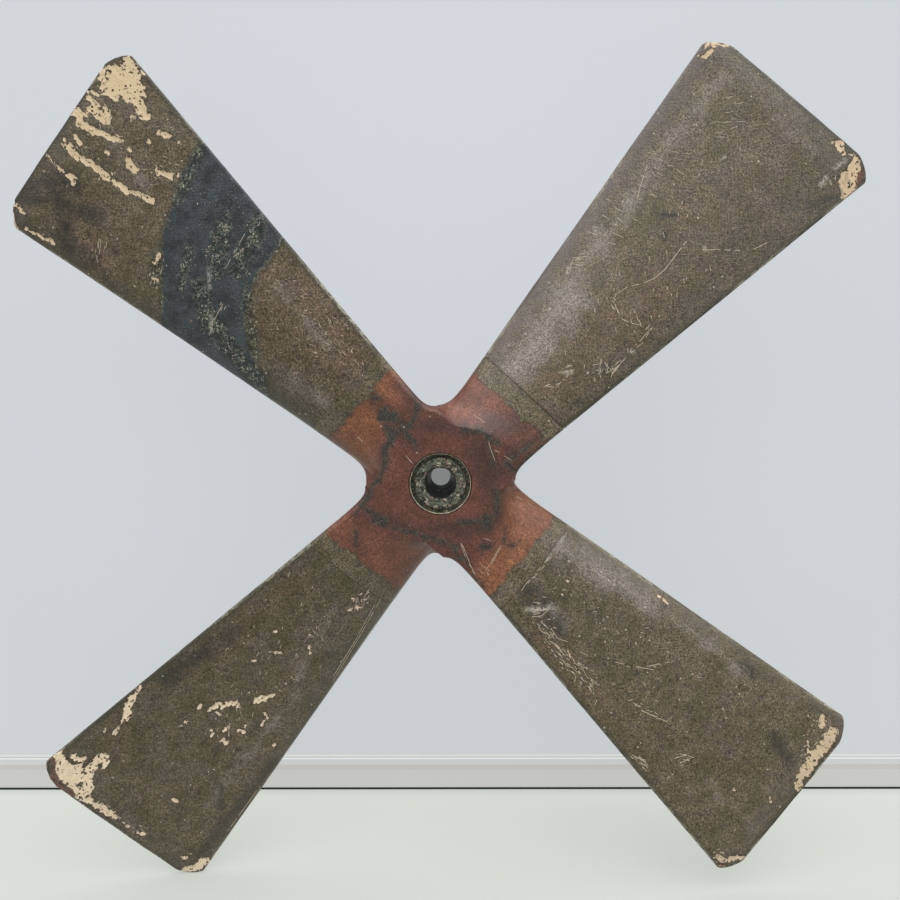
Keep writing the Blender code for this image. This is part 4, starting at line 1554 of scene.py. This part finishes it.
# %% Soiled paint
def soiled(tree, olive, place, along, place_name, seed, close):
    """The olive with its soot, pits, rubbed and browned places, its painted sheen and its smudges."""
    patches = use(tree, mottle, Place=place, Size=9.0, Seed=seed + 3.0)
    soot = product(tree, attribute(tree, "soot_and_bore_shade"), span(tree, patches["Cloud"], 0.1, 0.7, 0.4, 1.0), 0.72)
    pits = blots(tree, place, 0.8, 0.52, 0.6, roughness=0.7)
    outwards = add(tree, "ShaderNodeSeparateXYZ", {0: along})
    inwards = span(tree, outwards, 180.0, 110.0, 0.0, PITTED[place_name])
    pitting = maths(tree, "MAXIMUM", inwards, product(tree, attribute(tree, "soot_and_bore_shade"), 0.8))
    pitted_olive = coat(tree, olive, "181612", pits, pitting)
    soot_and_bore_shade = blend(tree, soot, pitted_olive, "24221f")
    thin = product(tree, attribute(tree, "rubbed"), patches["Spots"], 0.85)
    rubbed = blend(tree, thin, soot_and_bore_shade, "6b5340")
    browning = product(tree, attribute(tree, "browned"), between(tree, patches["Cloud"], 0.35, 0.8))
    browned = blend(tree, browning, rubbed, (1.22, 1.02, 1.0, 1.0), "MULTIPLY")
    # painted sheen: a milky grey, torn and pored, where the paint turns up to the ceiling
    sheen_field = attribute(tree, "painted_sheen")
    broken = product(tree, rough_noise(tree, place, 0.075, detail=6.0, roughness=0.7), 2.2)
    torn = span(tree, total(tree, sheen_field, maths(tree, "SUBTRACT", broken, 1.1)), 0.25, 1.0)
    pores = between(tree, close["Grit"], 0.3, 0.85)
    sheen_share = product(tree, torn, span(tree, sheen_field, 0.0, 0.25), pores)
    sheen_tone = shaded(tree, colour("857c77")[:3], between(tree, close["Grit"], 0.55, 1.4))
    painted_sheen = blend(tree, sheen_share, browned, sheen_tone)
    return coat(tree, painted_sheen, "1d1a17", attribute(tree, "smudged"), 0.85)


print("soiled paint ready")


# %% The whole finish of a sleeve
def painted_linen(place_name):
    seed = float(PLACES.index(place_name)) * 40
    material, tree, shader = new_material("doped_linen_" + place_name)
    place, along = millimetres(tree), attribute(tree, "along", "Vector")
    olive, threads, close = olive_colour(tree, place, along, OLIVE_TONES[place_name], seed)
    smudged = soiled(tree, olive, place, along, place_name, seed, close)
    painted = edged(tree, smudged, place, along, place_name)
    gloss = between(tree, close["Cloud"], 0.31, 0.39)
    if place_name == BANDED:
        painted, inside = banded(tree, painted, place, close)
        gloss = fade(tree, inside, gloss, 0.36)
    crazed = chalk(tree, flecks(tree, painted, place), place)
    wear = use(tree, worn, Field=attribute(tree, "bare"), Along=along)
    rimmed = coat(tree, crazed, "26251d", wear["Rim"], 0.75)
    crumbs = use(tree, specks, Place=place, Cell=7.0, Radius=0.08, Share=0.3)["Mask"]
    specked = coat(tree, rimmed, PALE_CRUMB, crumbs, 0.75)
    skin = blend(tree, wear["Bare"], specked, bare_colour(tree, place, along, BARE_WOOD[place_name]))
    relief = total(tree, threads["Height"], product(tree, close["Grit"], 0.7))
    wrinkled = total(tree, relief, product(tree, close["Worms"], 0.5))
    height = fade(tree, wear["Bare"], wrinkled, product(tree, threads["Height"], 0.4))
    feed(tree, shader, Base_Color=skin, Roughness=fade(tree, wear["Bare"], gloss, 0.85),
         Normal=bump(tree, height, 0.00018, 0.85), Specular_IOR_Level=0.42)
    return material


linen = {place: painted_linen(place) for place in PLACES}
print("linen finishes:", len(linen))

# %% [markdown]
# ## Varnished wood
# The hub is varnished red-brown, more orange where the scoops were carved. Thinned by hands and
# oil, it has a soft gloss and a skin of fine dirt. Grease lies over it in dark blots with torn
# edges, and the olive paint begins with a ragged, darker front. The fields made above tell each
# where to lie. Both boards get the same clouds, so the joint between them doesn't show.

# %% Varnish, grease and the start of the olive
ORANGE_TONES = {"front": ("6f4329", "8c5939"), "rear": ("62392a", "7b4d35")}


def varnished_wood(name, orange_tones, olive_tones):
    material, tree, shader = new_material(name)
    place, along = millimetres(tree), attribute(tree, "along", "Vector")
    streaks = use(tree, grain, Along=along, Fineness=1.0)
    clouds = use(tree, mottle, Place=place, Size=14.0, Seed=40.0)
    close = use(tree, mottle, Place=place, Size=4.0, Seed=45.0)
    red = blend(tree, clouds["Cloud"], "522e23", "6c3d30")
    orange = blend(tree, clouds["Cloud"], *orange_tones)
    varnish = coat(tree, red, orange, attribute(tree, "scoop"), 0.85)
    grained = coat(tree, varnish, "37201a", streaks["Streaks"], 0.35)
    dirt = product(tree, clouds["Cloud"], close["Spots"], 0.8)
    spotted = blend(tree, dirt, grained, "1b1715")
    # the grease field also holds the crease lines along the rims, which are dirt and painted shade
    grimy = product(tree, span(tree, attribute(tree, "grease"), 0.02, 0.5), close["Cloud"], 0.6)
    greyed = blend(tree, grimy, spotted, "2a211d")
    grit = between(tree, close["Grit"], 0.45, 1.55)
    worms = between(tree, close["Worms"], 0.72, 1.28)
    # the grime field is partly painted shade near the crotches
    dimmed = coat(tree, greyed, "2a1c18", attribute(tree, "grime_and_shade"), 0.58)
    gritty = shaded(tree, dimmed, grit, worms)
    torn = centred(tree, place, 0.4, detail=5.0, roughness=0.75)
    edge_field = total(tree, attribute(tree, "grease"), product(tree, torn, 1.3))
    grease = span(tree, edge_field, 0.44, 0.6)
    crumbly = blots(tree, place, 0.8, 0.44, 0.66, roughness=0.7)
    oil = shaded(tree, blend(tree, crumbly, "0d0d0c", "46463c"), grit)
    oily = coat(tree, gritty, oil, grease, 0.88)
    olive, threads = olive_colour(tree, place, along, olive_tones, 40.0)[:2]
    frayed = centred(tree, place, 0.9, detail=4.0, roughness=0.75)
    start = total(tree, attribute(tree, "olive"), product(tree, total(tree, torn, frayed), 0.5))
    over = span(tree, start, 0.46, 0.56)
    front = product(tree, span(tree, start, 0.36, 0.48), span(tree, start, 0.66, 0.52))
    coated = blend(tree, over, oily, olive)
    outlined = coat(tree, coated, "211e19", front, 0.3)
    crumbs = use(tree, specks, Place=place, Cell=7.0, Radius=0.07, Share=0.2)["Mask"]
    skin = coat(tree, outlined, PALE_CRUMB, crumbs, 0.7)
    gloss = between(tree, clouds["Cloud"], 0.32, 0.44)
    rough = fade(tree, over, fade(tree, grease, gloss, 0.55), 0.36)
    relief = total(tree, product(tree, streaks["Streaks"], 0.5), product(tree, over, 0.7))
    lumps = product(tree, close["Grit"], maths(tree, "MAXIMUM", grease, 0.6))
    height = total(tree, relief, total(tree, lumps, product(tree, threads["Height"], over)))
    feed(tree, shader, Base_Color=skin, Roughness=rough, Normal=bump(tree, height, 0.0002, 0.8),
         Specular_IOR_Level=0.45)
    return material


varnish_front = varnished_wood("varnished_wood_front", ORANGE_TONES["front"], OLIVE_TONES["upper_left"])
varnish_rear = varnished_wood("varnished_wood_rear", ORANGE_TONES["rear"], OLIVE_TONES["upper_right"])
print("varnish ready")

# %% [markdown]
# ## Oxidised bronze
# The bush has gone green-black with small pits, crumbs of old cream and pink paint cling to it, and
# only its lip is still rubbed bright. Pointiness and bevel nodes are lost in an export, so the
# bright places are taken from the radius: a turned piece has them there.

# %% Bronze
def dark_bronze(name):
    material, tree, shader = new_material(name)
    place = millimetres(tree)
    clouds = use(tree, mottle, Place=place, Size=4.0, Seed=71.0)
    close = use(tree, mottle, Place=place, Size=1.6, Seed=75.0)
    green = blots(tree, place, 0.25, 0.44, 0.56, detail=4.0, roughness=0.7)
    blotch = blots(tree, place, 0.36, 0.47, 0.55, detail=5.0, roughness=0.7, distortion=1.0)
    dark = blend(tree, green, "121618", "46543f")
    tarnish = coat(tree, dark, "77796a", close["Cloud"], 0.7)
    spotted = coat(tree, tarnish, "0a0b0c", blotch, 0.88)
    cream = blots(tree, place, 0.4, 0.58, 0.61, detail=5.0, roughness=0.7)
    elsewhere = stretched(tree, place, (1.0, -1.0, -1.0))
    pink = blots(tree, elsewhere, 0.34, 0.59, 0.62, detail=5.0)
    painted = coat(tree, spotted, "b3a78d", cream, 0.85)
    rosy = coat(tree, painted, "96746a", pink, 0.7)
    x, y, z = add(tree, "ShaderNodeSeparateXYZ", {0: place}).node.outputs
    radius = maths(tree, "SQRT", total(tree, product(tree, x, x), product(tree, z, z)))
    # painted shade: the bore is painted near black inside, where the hole is in shade
    bore = span(tree, radius, 9.6, 9.0)
    soot_and_bore_shade = coat(tree, rosy, "0b0c0a", bore, 0.95)
    front = span(tree, y, -13.0, -14.0)
    patchy = blots(tree, place, 0.35, 0.3, 0.6, 0.25, 1.0)
    bright = product(tree, span(tree, radius, 17.5, 17.65), front, patchy)
    skin = blend(tree, bright, soot_and_bore_shade, "c4c1a6")
    height = total(tree, maths(tree, "SUBTRACT", close["Cloud"], close["Spots"]), cream, pink)
    rough = fade(tree, bright, between(tree, clouds["Cloud"], 0.4, 0.65), 0.35)
    feed(tree, shader, Base_Color=skin, Metallic=fade(tree, bright, 0.2, 0.35), Roughness=rough,
         Normal=bump(tree, height, 0.00025, 0.9))
    return material


bronze = dark_bronze("dark_bronze")
print("bronze ready")

# %% [markdown]
# ## Small things that lie on the surface
# Specks of old paint, scuffs like short pale threads, and frayed fibres at the worn corners are too
# many to place by hand. Geometry Nodes do it: one tree scatters specks over a skin, one runs a thin
# ribbon along drawn lines, and one plants bent fibres where the worn field is at its edge. Each
# ends in Realize Instances and Set Material, so the result is a plain mesh like any other.

# %% Running a tree of geometry nodes
def new_geometry(name, inputs):
    """A geometry tree; returns the tree, its input sockets and its output socket."""
    shape = {"Geometry": "Geometry"}
    tree, into, out = new_tree("GeometryNodeTree", name, {**shape, **inputs}, shape)
    return tree, into, out[0]


def run_tree(tree, name, data, values):
    """Runs a tree on a mesh or curve with these inputs and returns the plain mesh that it makes."""
    source = into_scene(name, data)
    modifier = source.modifiers.new("nodes", "NODES")
    modifier.node_group = tree
    sockets = {item.name: item.identifier for item in tree.interface.items_tree if item.in_out == "INPUT"}
    for label, value in values.items():
        modifier[sockets[label]] = value
    source.update_tag()
    mesh = plain_mesh(source)
    mesh.name = name
    return mesh


def finish_tree(tree, geometry, material, output):
    real = add(tree, "GeometryNodeRealizeInstances", {0: geometry})
    put(tree, output, add(tree, "GeometryNodeSetMaterial", {"Geometry": real, "Material": material}))


print("a tree runs as a modifier named nodes")


# %% Parts that more than one tree uses
def compare(tree, name, operation, limit):
    """Chooses the points whose stored value is past a limit."""
    field = add(tree, "GeometryNodeInputNamedAttribute", {"Name": name}, data_type="FLOAT")
    return add(tree, "FunctionNodeCompare", {0: field, 1: limit}, operation=operation)


def scattered(tree, into, chosen):
    """Random points on the chosen faces, and the turn that stands something up on each."""
    inputs = {"Mesh": into["Geometry"], "Density": into["Density"], "Seed": into["Seed"], "Selection": chosen}
    points = add(tree, "GeometryNodeDistributePointsOnFaces", inputs, distribute_method="RANDOM")
    return points, points.node.outputs["Rotation"]


def chance(tree, low, high, seed):
    return add(tree, "FunctionNodeRandomValue", {2: low, 3: high, "Seed": seed}, out=1, data_type="FLOAT")


def tube(tree, curve, sides, radius):
    profile = add(tree, "GeometryNodeCurvePrimitiveCircle", {"Resolution": sides, "Radius": radius})
    inputs = {"Curve": curve, "Profile Curve": profile, "Fill Caps": True}
    return add(tree, "GeometryNodeCurveToMesh", inputs)


print("parts: compare, scattered, chance, tube")


# %% The tree that scatters specks
def speck_tree():
    tree, into, output = new_geometry("scattered_specks", {
        "Density": 1800.0, "Smallest": 0.00012, "Largest": 0.0005, "Seed": 1, "Material": "Material"})
    points, upright = scattered(tree, into, compare(tree, "outside", "GREATER_THAN", 0.5))
    speck = add(tree, "GeometryNodeMeshIcoSphere", {"Radius": 1.0, "Subdivisions": 1})
    size = chance(tree, into["Smallest"], into["Largest"], into["Seed"])
    flat = add(tree, "ShaderNodeCombineXYZ", {0: size, 1: size, 2: product(tree, size, 0.35)})
    inputs = {"Points": points, "Instance": speck, "Rotation": upright, "Scale": flat}
    finish_tree(tree, add(tree, "GeometryNodeInstanceOnPoints", inputs), into["Material"], output)
    return tree


scatter = speck_tree()
print("tree:", scatter.name)


# %% The tree that follows drawn lines
def ribbon_tree():
    tree, into, output = new_geometry("scuff_ribbon", {
        "Step": 0.0006, "Width": 0.00019, "Wander": 0.0003, "Material": "Material"})
    inputs = {"Curve": into["Geometry"], "Length": into["Step"]}
    fine = add(tree, "GeometryNodeResampleCurve", inputs, mode="LENGTH")
    place = add(tree, "GeometryNodeInputPosition")
    shaken = add(tree, "ShaderNodeTexNoise", {"Vector": place, "Scale": 330.0, "Detail": 3.0}, out=1)
    across = stretched(tree, vectors(tree, "SUBTRACT", shaken, (0.5, 0.5, 0.5)), (1.0, 0.0, 1.0))
    offset = shaded(tree, across, into["Wander"])
    moved = add(tree, "GeometryNodeSetPosition", {"Geometry": fine, "Offset": offset})
    ahead = product(tree, add(tree, "GeometryNodeSplineParameter"), 2.0)
    off_middle = maths(tree, "ABSOLUTE", maths(tree, "SUBTRACT", ahead, 1.0))
    middle = maths(tree, "SUBTRACT", 1.0, off_middle)
    patchy = add(tree, "ShaderNodeTexNoise", {"Vector": place, "Scale": 700.0, "Detail": 2.0})
    uneven = span(tree, patchy, 0.35, 0.65, 0.25, 1.4)
    drawn = product(tree, add(tree, "GeometryNodeInputRadius"), uneven)
    width = product(tree, total(tree, maths(tree, "SQRT", middle), 0.1), drawn)
    sized = add(tree, "GeometryNodeSetCurveRadius", {"Curve": moved, "Radius": width})
    finish_tree(tree, tube(tree, sized, 5, into["Width"]), into["Material"], output)
    return tree


ribbon = ribbon_tree()
print("tree:", ribbon.name)


# %% The tree that plants frayed fibres
def fibre_tree():
    tree, into, output = new_geometry("frayed_fibres", {
        "Density": 50000.0, "From": 0.46, "To": 0.56, "Length": 0.0016, "Thickness": 0.00006, "Seed": 1,
        "Material": "Material"})
    above = compare(tree, "bare", "GREATER_THAN", into["From"])
    below = compare(tree, "bare", "LESS_THAN", into["To"])
    skin = compare(tree, "outside", "GREATER_THAN", 0.5)
    edge_only = add(tree, "FunctionNodeBooleanMath", {0: above, 1: below}, operation="AND")
    chosen = add(tree, "FunctionNodeBooleanMath", {0: edge_only, 1: skin}, operation="AND")
    points, upright = scattered(tree, into, chosen)
    bow_points = {"Resolution": 5, "Start": (0, 0, 0), "Middle": (0.5, 0.0, 0.25), "End": (1.0, 0.2, 0.05)}
    bow = add(tree, "GeometryNodeCurveQuadraticBezier", bow_points)
    turn = chance(tree, 0.0, 2 * math.pi, into["Seed"])
    spin = add(tree, "FunctionNodeAxisAngleToRotation", {"Axis": (0, 0, 1), "Angle": turn})
    inputs = {"Rotation": upright, "Rotate By": spin}
    turned_round = add(tree, "FunctionNodeRotateRotation", inputs, rotation_space="LOCAL")
    long = product(tree, chance(tree, 0.3, 1.0, into["Seed"]), into["Length"])
    scale = add(tree, "ShaderNodeCombineXYZ", {0: long, 1: long, 2: long})
    inputs = {"Points": points, "Instance": bow, "Rotation": turned_round, "Scale": scale}
    placed = add(tree, "GeometryNodeRealizeInstances", {0: add(tree, "GeometryNodeInstanceOnPoints", inputs)})
    thin = add(tree, "GeometryNodeSetCurveRadius", {"Curve": placed, "Radius": 1.0})
    finish_tree(tree, tube(tree, thin, 3, into["Thickness"]), into["Material"], output)
    return tree


fray = fibre_tree()
print("tree:", fray.name)

# %% [markdown]
# ## Plain finishes for the small things
# Each is one colour broken up by fine noise, because a speck is too small to show more.

# %% Old paint, scuffs and fibres
def small_finish(name, dark, light, size):
    material, tree, shader = new_material(name)
    place = millimetres(tree)
    tone = blend(tree, rough_noise(tree, place, size), dark, light)
    feed(tree, shader, Base_Color=tone, Roughness=0.8)
    return material


old_paint = small_finish("old_paint", "8d8676", "d5d1c8", 0.8)
scuffed = small_finish("scuffed_dope", "7b7161", "c8bca6", 0.45)
fibre = small_finish("wood_fibre", "8d7150", "cdb48f", 0.7)

# %% [markdown]
# ## Scuffs and scratches
# The long scuffs are drawn one by one, because the eye follows them. The fine scratches between
# them are only a patch with a number, a length and a direction, and a seeded generator draws each.
# A line is laid on the surface in small steps and sunk a little, so it looks like a graze.

# %% Scuffs, in millimetres along and across each blade
SCUFFS = {
    "upper_right": [
        [143, -10, 145, -5, 150, 0, 158, -2, 165, -7, 172, -10, 180, -11, 189, -10, 200, -9],
        [142, -12, 144, -18, 147, -23], [143, -12, 149, -6], [203, -20, 208, -25, 216, -35],
        [110, -26, 120, -29, 130, -29], [134, -29, 146, -28, 155, -29], [198, 27, 205, 31, 218, 37],
        [230, 10, 236, 13, 241, 16], [84, -6, 86, -10], [94, -6, 101, -12], [222, -40, 232, -44],
        [111, -18, 117, -22, 116, -25], [146, 30, 151, 32, 153, 28],
    ],
    "upper_left": [
        [237, 43, 240, 36, 243, 31], [110, -25, 113, -27], [90, -21, 91, -24], [138, 24, 142, 30],
        [160, 30, 163, 20, 165, 8], [176, -6, 178, -18, 180, -30],
    ],
    "lower_left": [
        [143, 0, 146, -4, 148, -6], [79, 23, 110, 31, 142, 38.2], [84, 22.8, 112, 30.2, 138, 35.8],
        [224, 50, 240, 52.2, 262, 55], [236, -43, 249, -41], [78, 13, 86, 15], [86, 11, 95, 16],
        [122, 9, 126, 5],
    ],
    "lower_right": [
        [153, -9, 163, -4, 175, 3], [168, -1, 173, 5, 180, 13], [186, -20, 196, -17, 205, -14],
        [222, -28, 226, -22, 231, -20], [201, -45, 204, -42, 212, -42], [110, -20, 116, -21.5, 122, -19],
        [113, -26, 119, -24.5, 126, -26.5], [140, -25, 146, -27, 153, -26],
        [125, -28, 131, -30, 137, -28, 145, -30, 152, -28], [140, -31, 142, -34, 147, -34],
        [160, -33, 161, -36], [130, -19, 137, -17], [95, -22, 99, -18, 100, -12],
    ],
}
print("scuffs:", {place: len(lines) for place, lines in SCUFFS.items()})

# %% Scuffs on the hub, and scratched patches: centre, half extents, number, length, direction
HUB_SCUFFS = [
    [28, 25, 30, 19, 32, 14], [32, 20, 37, 17, 42, 14], [12, -35, 15, -44, 19, -51, 22, -57],
    [13, -36, 17, -46, 20, -54], [36, -37, 32, -45, 27, -55], [35, -38, 30, -47, 24, -56],
    [46, -10, 52, -14, 58, -18], [-46, 10, -52, 14, -58, 18], [22, -50, 27, -56], [24, -48, 28, -51],
    [-16, 12, -20, 17], [-49, 27, -46, 24], [29.3, 31.2, 29.9, 30.8], [-18.3, -24.3, -17.7, -24.8],
    [-37.3, -43.8, -36.6, -44.2], [-21.2, 23.2, -20.8, 22.8], [-41.2, 13.2, -40.8, 12.7],
    [24, -31, 30, -34], [-8, -50, -2, -46], [20, 40, 26, 36],
]
SCRATCHED = {
    "upper_right": [
        (113, -23, 4, 4, 10, 3, 30), (145, -12, 4, 11, 10, 4, 75), (134, -28, 20, 2, 16, 4, 5),
        (151, 29, 5, 3, 12, 4, 130), (92, -9, 10, 3, 10, 3, 150), (268, 22, 12, 8, 14, 4, 140),
        (205, 30, 40, 12, 24, 5, 100), (160, -10, 60, 22, 40, 2, 45),
        (284, -50, 7, 6, 20, 3, 60),
    ],
    "upper_left": [
        (240, 37, 3, 7, 6, 5, 115), (95, -20, 20, 8, 14, 2, 160), (130, -18, 30, 14, 26, 2, 30),
        (165, 18, 8, 10, 10, 2, 100), (176, -28, 3, 13, 12, 2, 95),
        (188, -16, 4, 11, 12, 2, 60), (206, 22, 5, 8, 6, 2, 110),
        (136, 26, 16, 6, 14, 1.5, 150), (250, -25, 20, 20, 20, 2, 20),
    ],
    "lower_left": [
        (87, 14, 8, 4, 12, 2, 30), (128, 10, 12, 6, 14, 2, 60), (158, 16, 6, 4, 10, 2, 90),
        (200, 12, 16, 10, 16, 2, 40), (150, -10, 50, 20, 30, 2, 20),
        (292, -2, 4, 16, 14, 2, 80),
    ],
    "lower_right": [
        (133, -26, 26, 4, 40, 2.2, 2), (143, -31, 14, 2, 16, 2, -4), (95, -16, 6, 3, 12, 3, 48),
        (79.5, 4, 0.8, 24, 10, 4, 89), (104, -22, 8, 3, 10, 3, 0), (192, -17, 12, 3, 12, 4, 15),
        (206, -43, 6, 2, 12, 4, 10), (226, -24, 4, 5, 8, 4, 50), (150, 0, 60, 24, 40, 2, 30),
        (282, 38, 5, 12, 16, 2, 70), (286, -54, 5, 4, 12, 2, 40),
    ],
}
print("scratched patches:", {place: len(patches) for place, patches in SCRATCHED.items()})

# %% The surface under a line
SUNK = 0.00002
HUB_SUNK = 0.0001
SIDE_MARGIN = 0.0015
TIP_MARGIN = 0.003


def front_height(u, v):
    return heights(u, np.array([v]))[0][0]


def hub_height(x, z):
    """Height of the front where the two pairs cross: the front pair covers the rear one."""
    for place in ("upper_left", "upper_right"):
        u, v = to_blade([(x, 0.0, z)], angles[place])[0][:2]
        low, high = edges(u)
        if low < v < high:
            return front_height(u, v)


def inside_blade(u, v):
    low, high = edges(u)
    return low + SIDE_MARGIN < v < high - SIDE_MARGIN and u < TIP_RADIUS - TIP_MARGIN


def blade_surface(place):
    def lay(u, v):
        if inside_blade(u, v):
            return to_world([(u, v, front_height(u, v) - SUNK)], angles[place])[0]
    return lay


def hub_surface(x, z):
    height = hub_height(x, z)
    return None if height is None else np.array([x, HUB_SUNK - height, z])


print("the hub is", round(hub_height(0.0, 0.0) / MM, 1), "mm in front of its middle")

# %% Scratches, and curves for all lines
SCUFF_WEIGHT = 1.7
SCRATCH_WEIGHT = 0.8
HUB_WEIGHT = 0.55
LINE_STEP = 0.0005
SHORTEST_BROKEN = 8


def scratch_lines(place):
    """Short bent strokes scattered over the scratched patches of a blade, always the same ones."""
    random = np.random.default_rng(50 + PLACES.index(place))
    lines = []
    for out, across, half_out, half_across, count, length, direction in SCRATCHED[place]:
        for _ in range(count):
            middle = np.array((out, across)) + random.uniform(-1, 1, 2) * (half_out, half_across)
            turn = math.radians(direction + random.normal(0, 10))
            half = 0.5 * length * random.uniform(0.3, 1.5) * np.array([math.cos(turn), math.sin(turn)])
            bend = 0.06 * length * random.normal() * np.array([-math.sin(turn), math.cos(turn)])
            lines.append((SCRATCH_WEIGHT, [middle - half, middle + bend, middle + half]))
    return lines


def unbroken(route, number):
    """Cuts a route where its noise is low, so that a scuff skips as it does on cloth."""
    kept = [noise.noise(Vector((260 * x, 260 * z, 3.1 * number))) > -0.24 for x, _, z in route]
    cuts = [i for i in range(1, len(route)) if kept[i] != kept[i - 1]]
    runs = np.split(np.arange(len(route)), cuts)
    return [route[run] for run in runs if kept[run[0]] and len(run) > 2]


def drawn_lines(lines, surface):
    """A curve of many pieces; surface puts a (first, second) place in millimetres into the frame."""
    curve = bpy.data.curves.new("scuffs", "CURVE")
    curve.dimensions = "3D"
    for number, (weight, line) in enumerate(lines):
        along = np.reshape(line, (-1, 2)) * MM
        legs = np.linalg.norm(np.diff(along, axis=0), axis=1)
        reach = np.concatenate([[0], np.cumsum(legs)])
        cut = np.linspace(0, reach[-1], max(4, int(reach[-1] / LINE_STEP)))
        spots = [surface(*(np.interp(at, reach, along[:, axis]) for axis in (0, 1))) for at in cut]
        route = np.array([spot for spot in spots if spot is not None])
        whole = len(route) <= SHORTEST_BROKEN
        for run in [route] * (len(route) > 2) if whole else unbroken(route, number):
            spline = curve.splines.new("POLY")
            spline.points.add(len(run) - 1)
            spline.points.foreach_set("co", np.concatenate([run, np.ones((len(run), 1))], 1).ravel())
            spline.points.foreach_set("radius", np.full(len(run), weight, np.float32))
    return curve


print("scratches drawn by the generator:", {place: len(scratch_lines(place)) for place in PLACES})

# %% Scuffs, specks and fibres for each blade
SPECK_SEED = 3
FIBRE_SEED = 8
HUB_LINE = 0.00018

scuff_meshes, speck_meshes, fibre_meshes = {}, {}, {}
for number, place in enumerate(PLACES):
    by_hand = [(SCUFF_WEIGHT, line) for line in SCUFFS[place]]
    lines = drawn_lines(by_hand + scratch_lines(place), blade_surface(place))
    scuff_meshes[place] = run_tree(ribbon, "scuffs_" + place, lines, {"Material": scuffed})
    skin = sleeve_meshes[place]
    seeded = {"Seed": SPECK_SEED + number, "Material": old_paint}
    speck_meshes[place] = run_tree(scatter, "specks_" + place, skin, seeded)
    seeded = {"Seed": FIBRE_SEED + number, "Material": fibre}
    fibre_meshes[place] = run_tree(fray, "fibres_" + place, skin, seeded)
    made = [len(meshes[place].polygons) for meshes in (scuff_meshes, speck_meshes, fibre_meshes)]
    print(place, "faces in scuffs, specks, fibres:", made)
hub_lines = drawn_lines([(HUB_WEIGHT, line) for line in HUB_SCUFFS], hub_surface)
hub_scuffs = run_tree(ribbon, "scuffs_hub", hub_lines, {"Material": scuffed, "Width": HUB_LINE})
print("faces in the hub's scuffs:", len(hub_scuffs.polygons))

# %% [markdown]
# ## Putting the pieces in the frame
# Every piece rides on the one body of the propeller, and hides the imported nodes that it stands
# for. Nothing is moved: each mesh was made where it belongs.

# %% Pieces, nodes and slots
def finish_piece(mesh, name, smooth_angle, *materials):
    """An object whose faces shade smoothly up to an angle in degrees."""
    mesh.shade_smooth()
    mesh.set_sharp_from_angle(angle=math.radians(smooth_angle))
    if materials:
        mesh.materials.clear()
    for material in materials:
        mesh.materials.append(material)
    return into_scene(name, mesh)


def settle(piece, slot, *nodes):
    """Every piece rides on the one body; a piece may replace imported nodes."""
    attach(piece, "root")
    if nodes:
        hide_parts(*nodes)


for place in PLACES:
    sleeve = finish_piece(sleeve_meshes[place], "doped_sleeve_" + place, 50, linen[place])
    settle(sleeve, "doped_linen", "linen_" + place)
    for label, meshes in (("scuffs_", scuff_meshes), ("specks_", speck_meshes), ("fibres_", fibre_meshes)):
        settle(finish_piece(meshes[place], label + place, 60), "doped_linen")
for name, finish in (("blade_pair_front", varnish_front), ("blade_pair_rear", varnish_rear)):
    settle(finish_piece(pair_meshes[name], "carved_" + name, 42, finish), "varnished_wood", name)
settle(finish_piece(hub_scuffs, "scuffs_hub", 60), "varnished_wood")
settle(finish_piece(bush, "turned_bush", 32, bronze), "dark_bronze", "hub_bush")
settle(finish_piece(collar, "turned_collar", 32, bronze), "dark_bronze", "rear_collar")
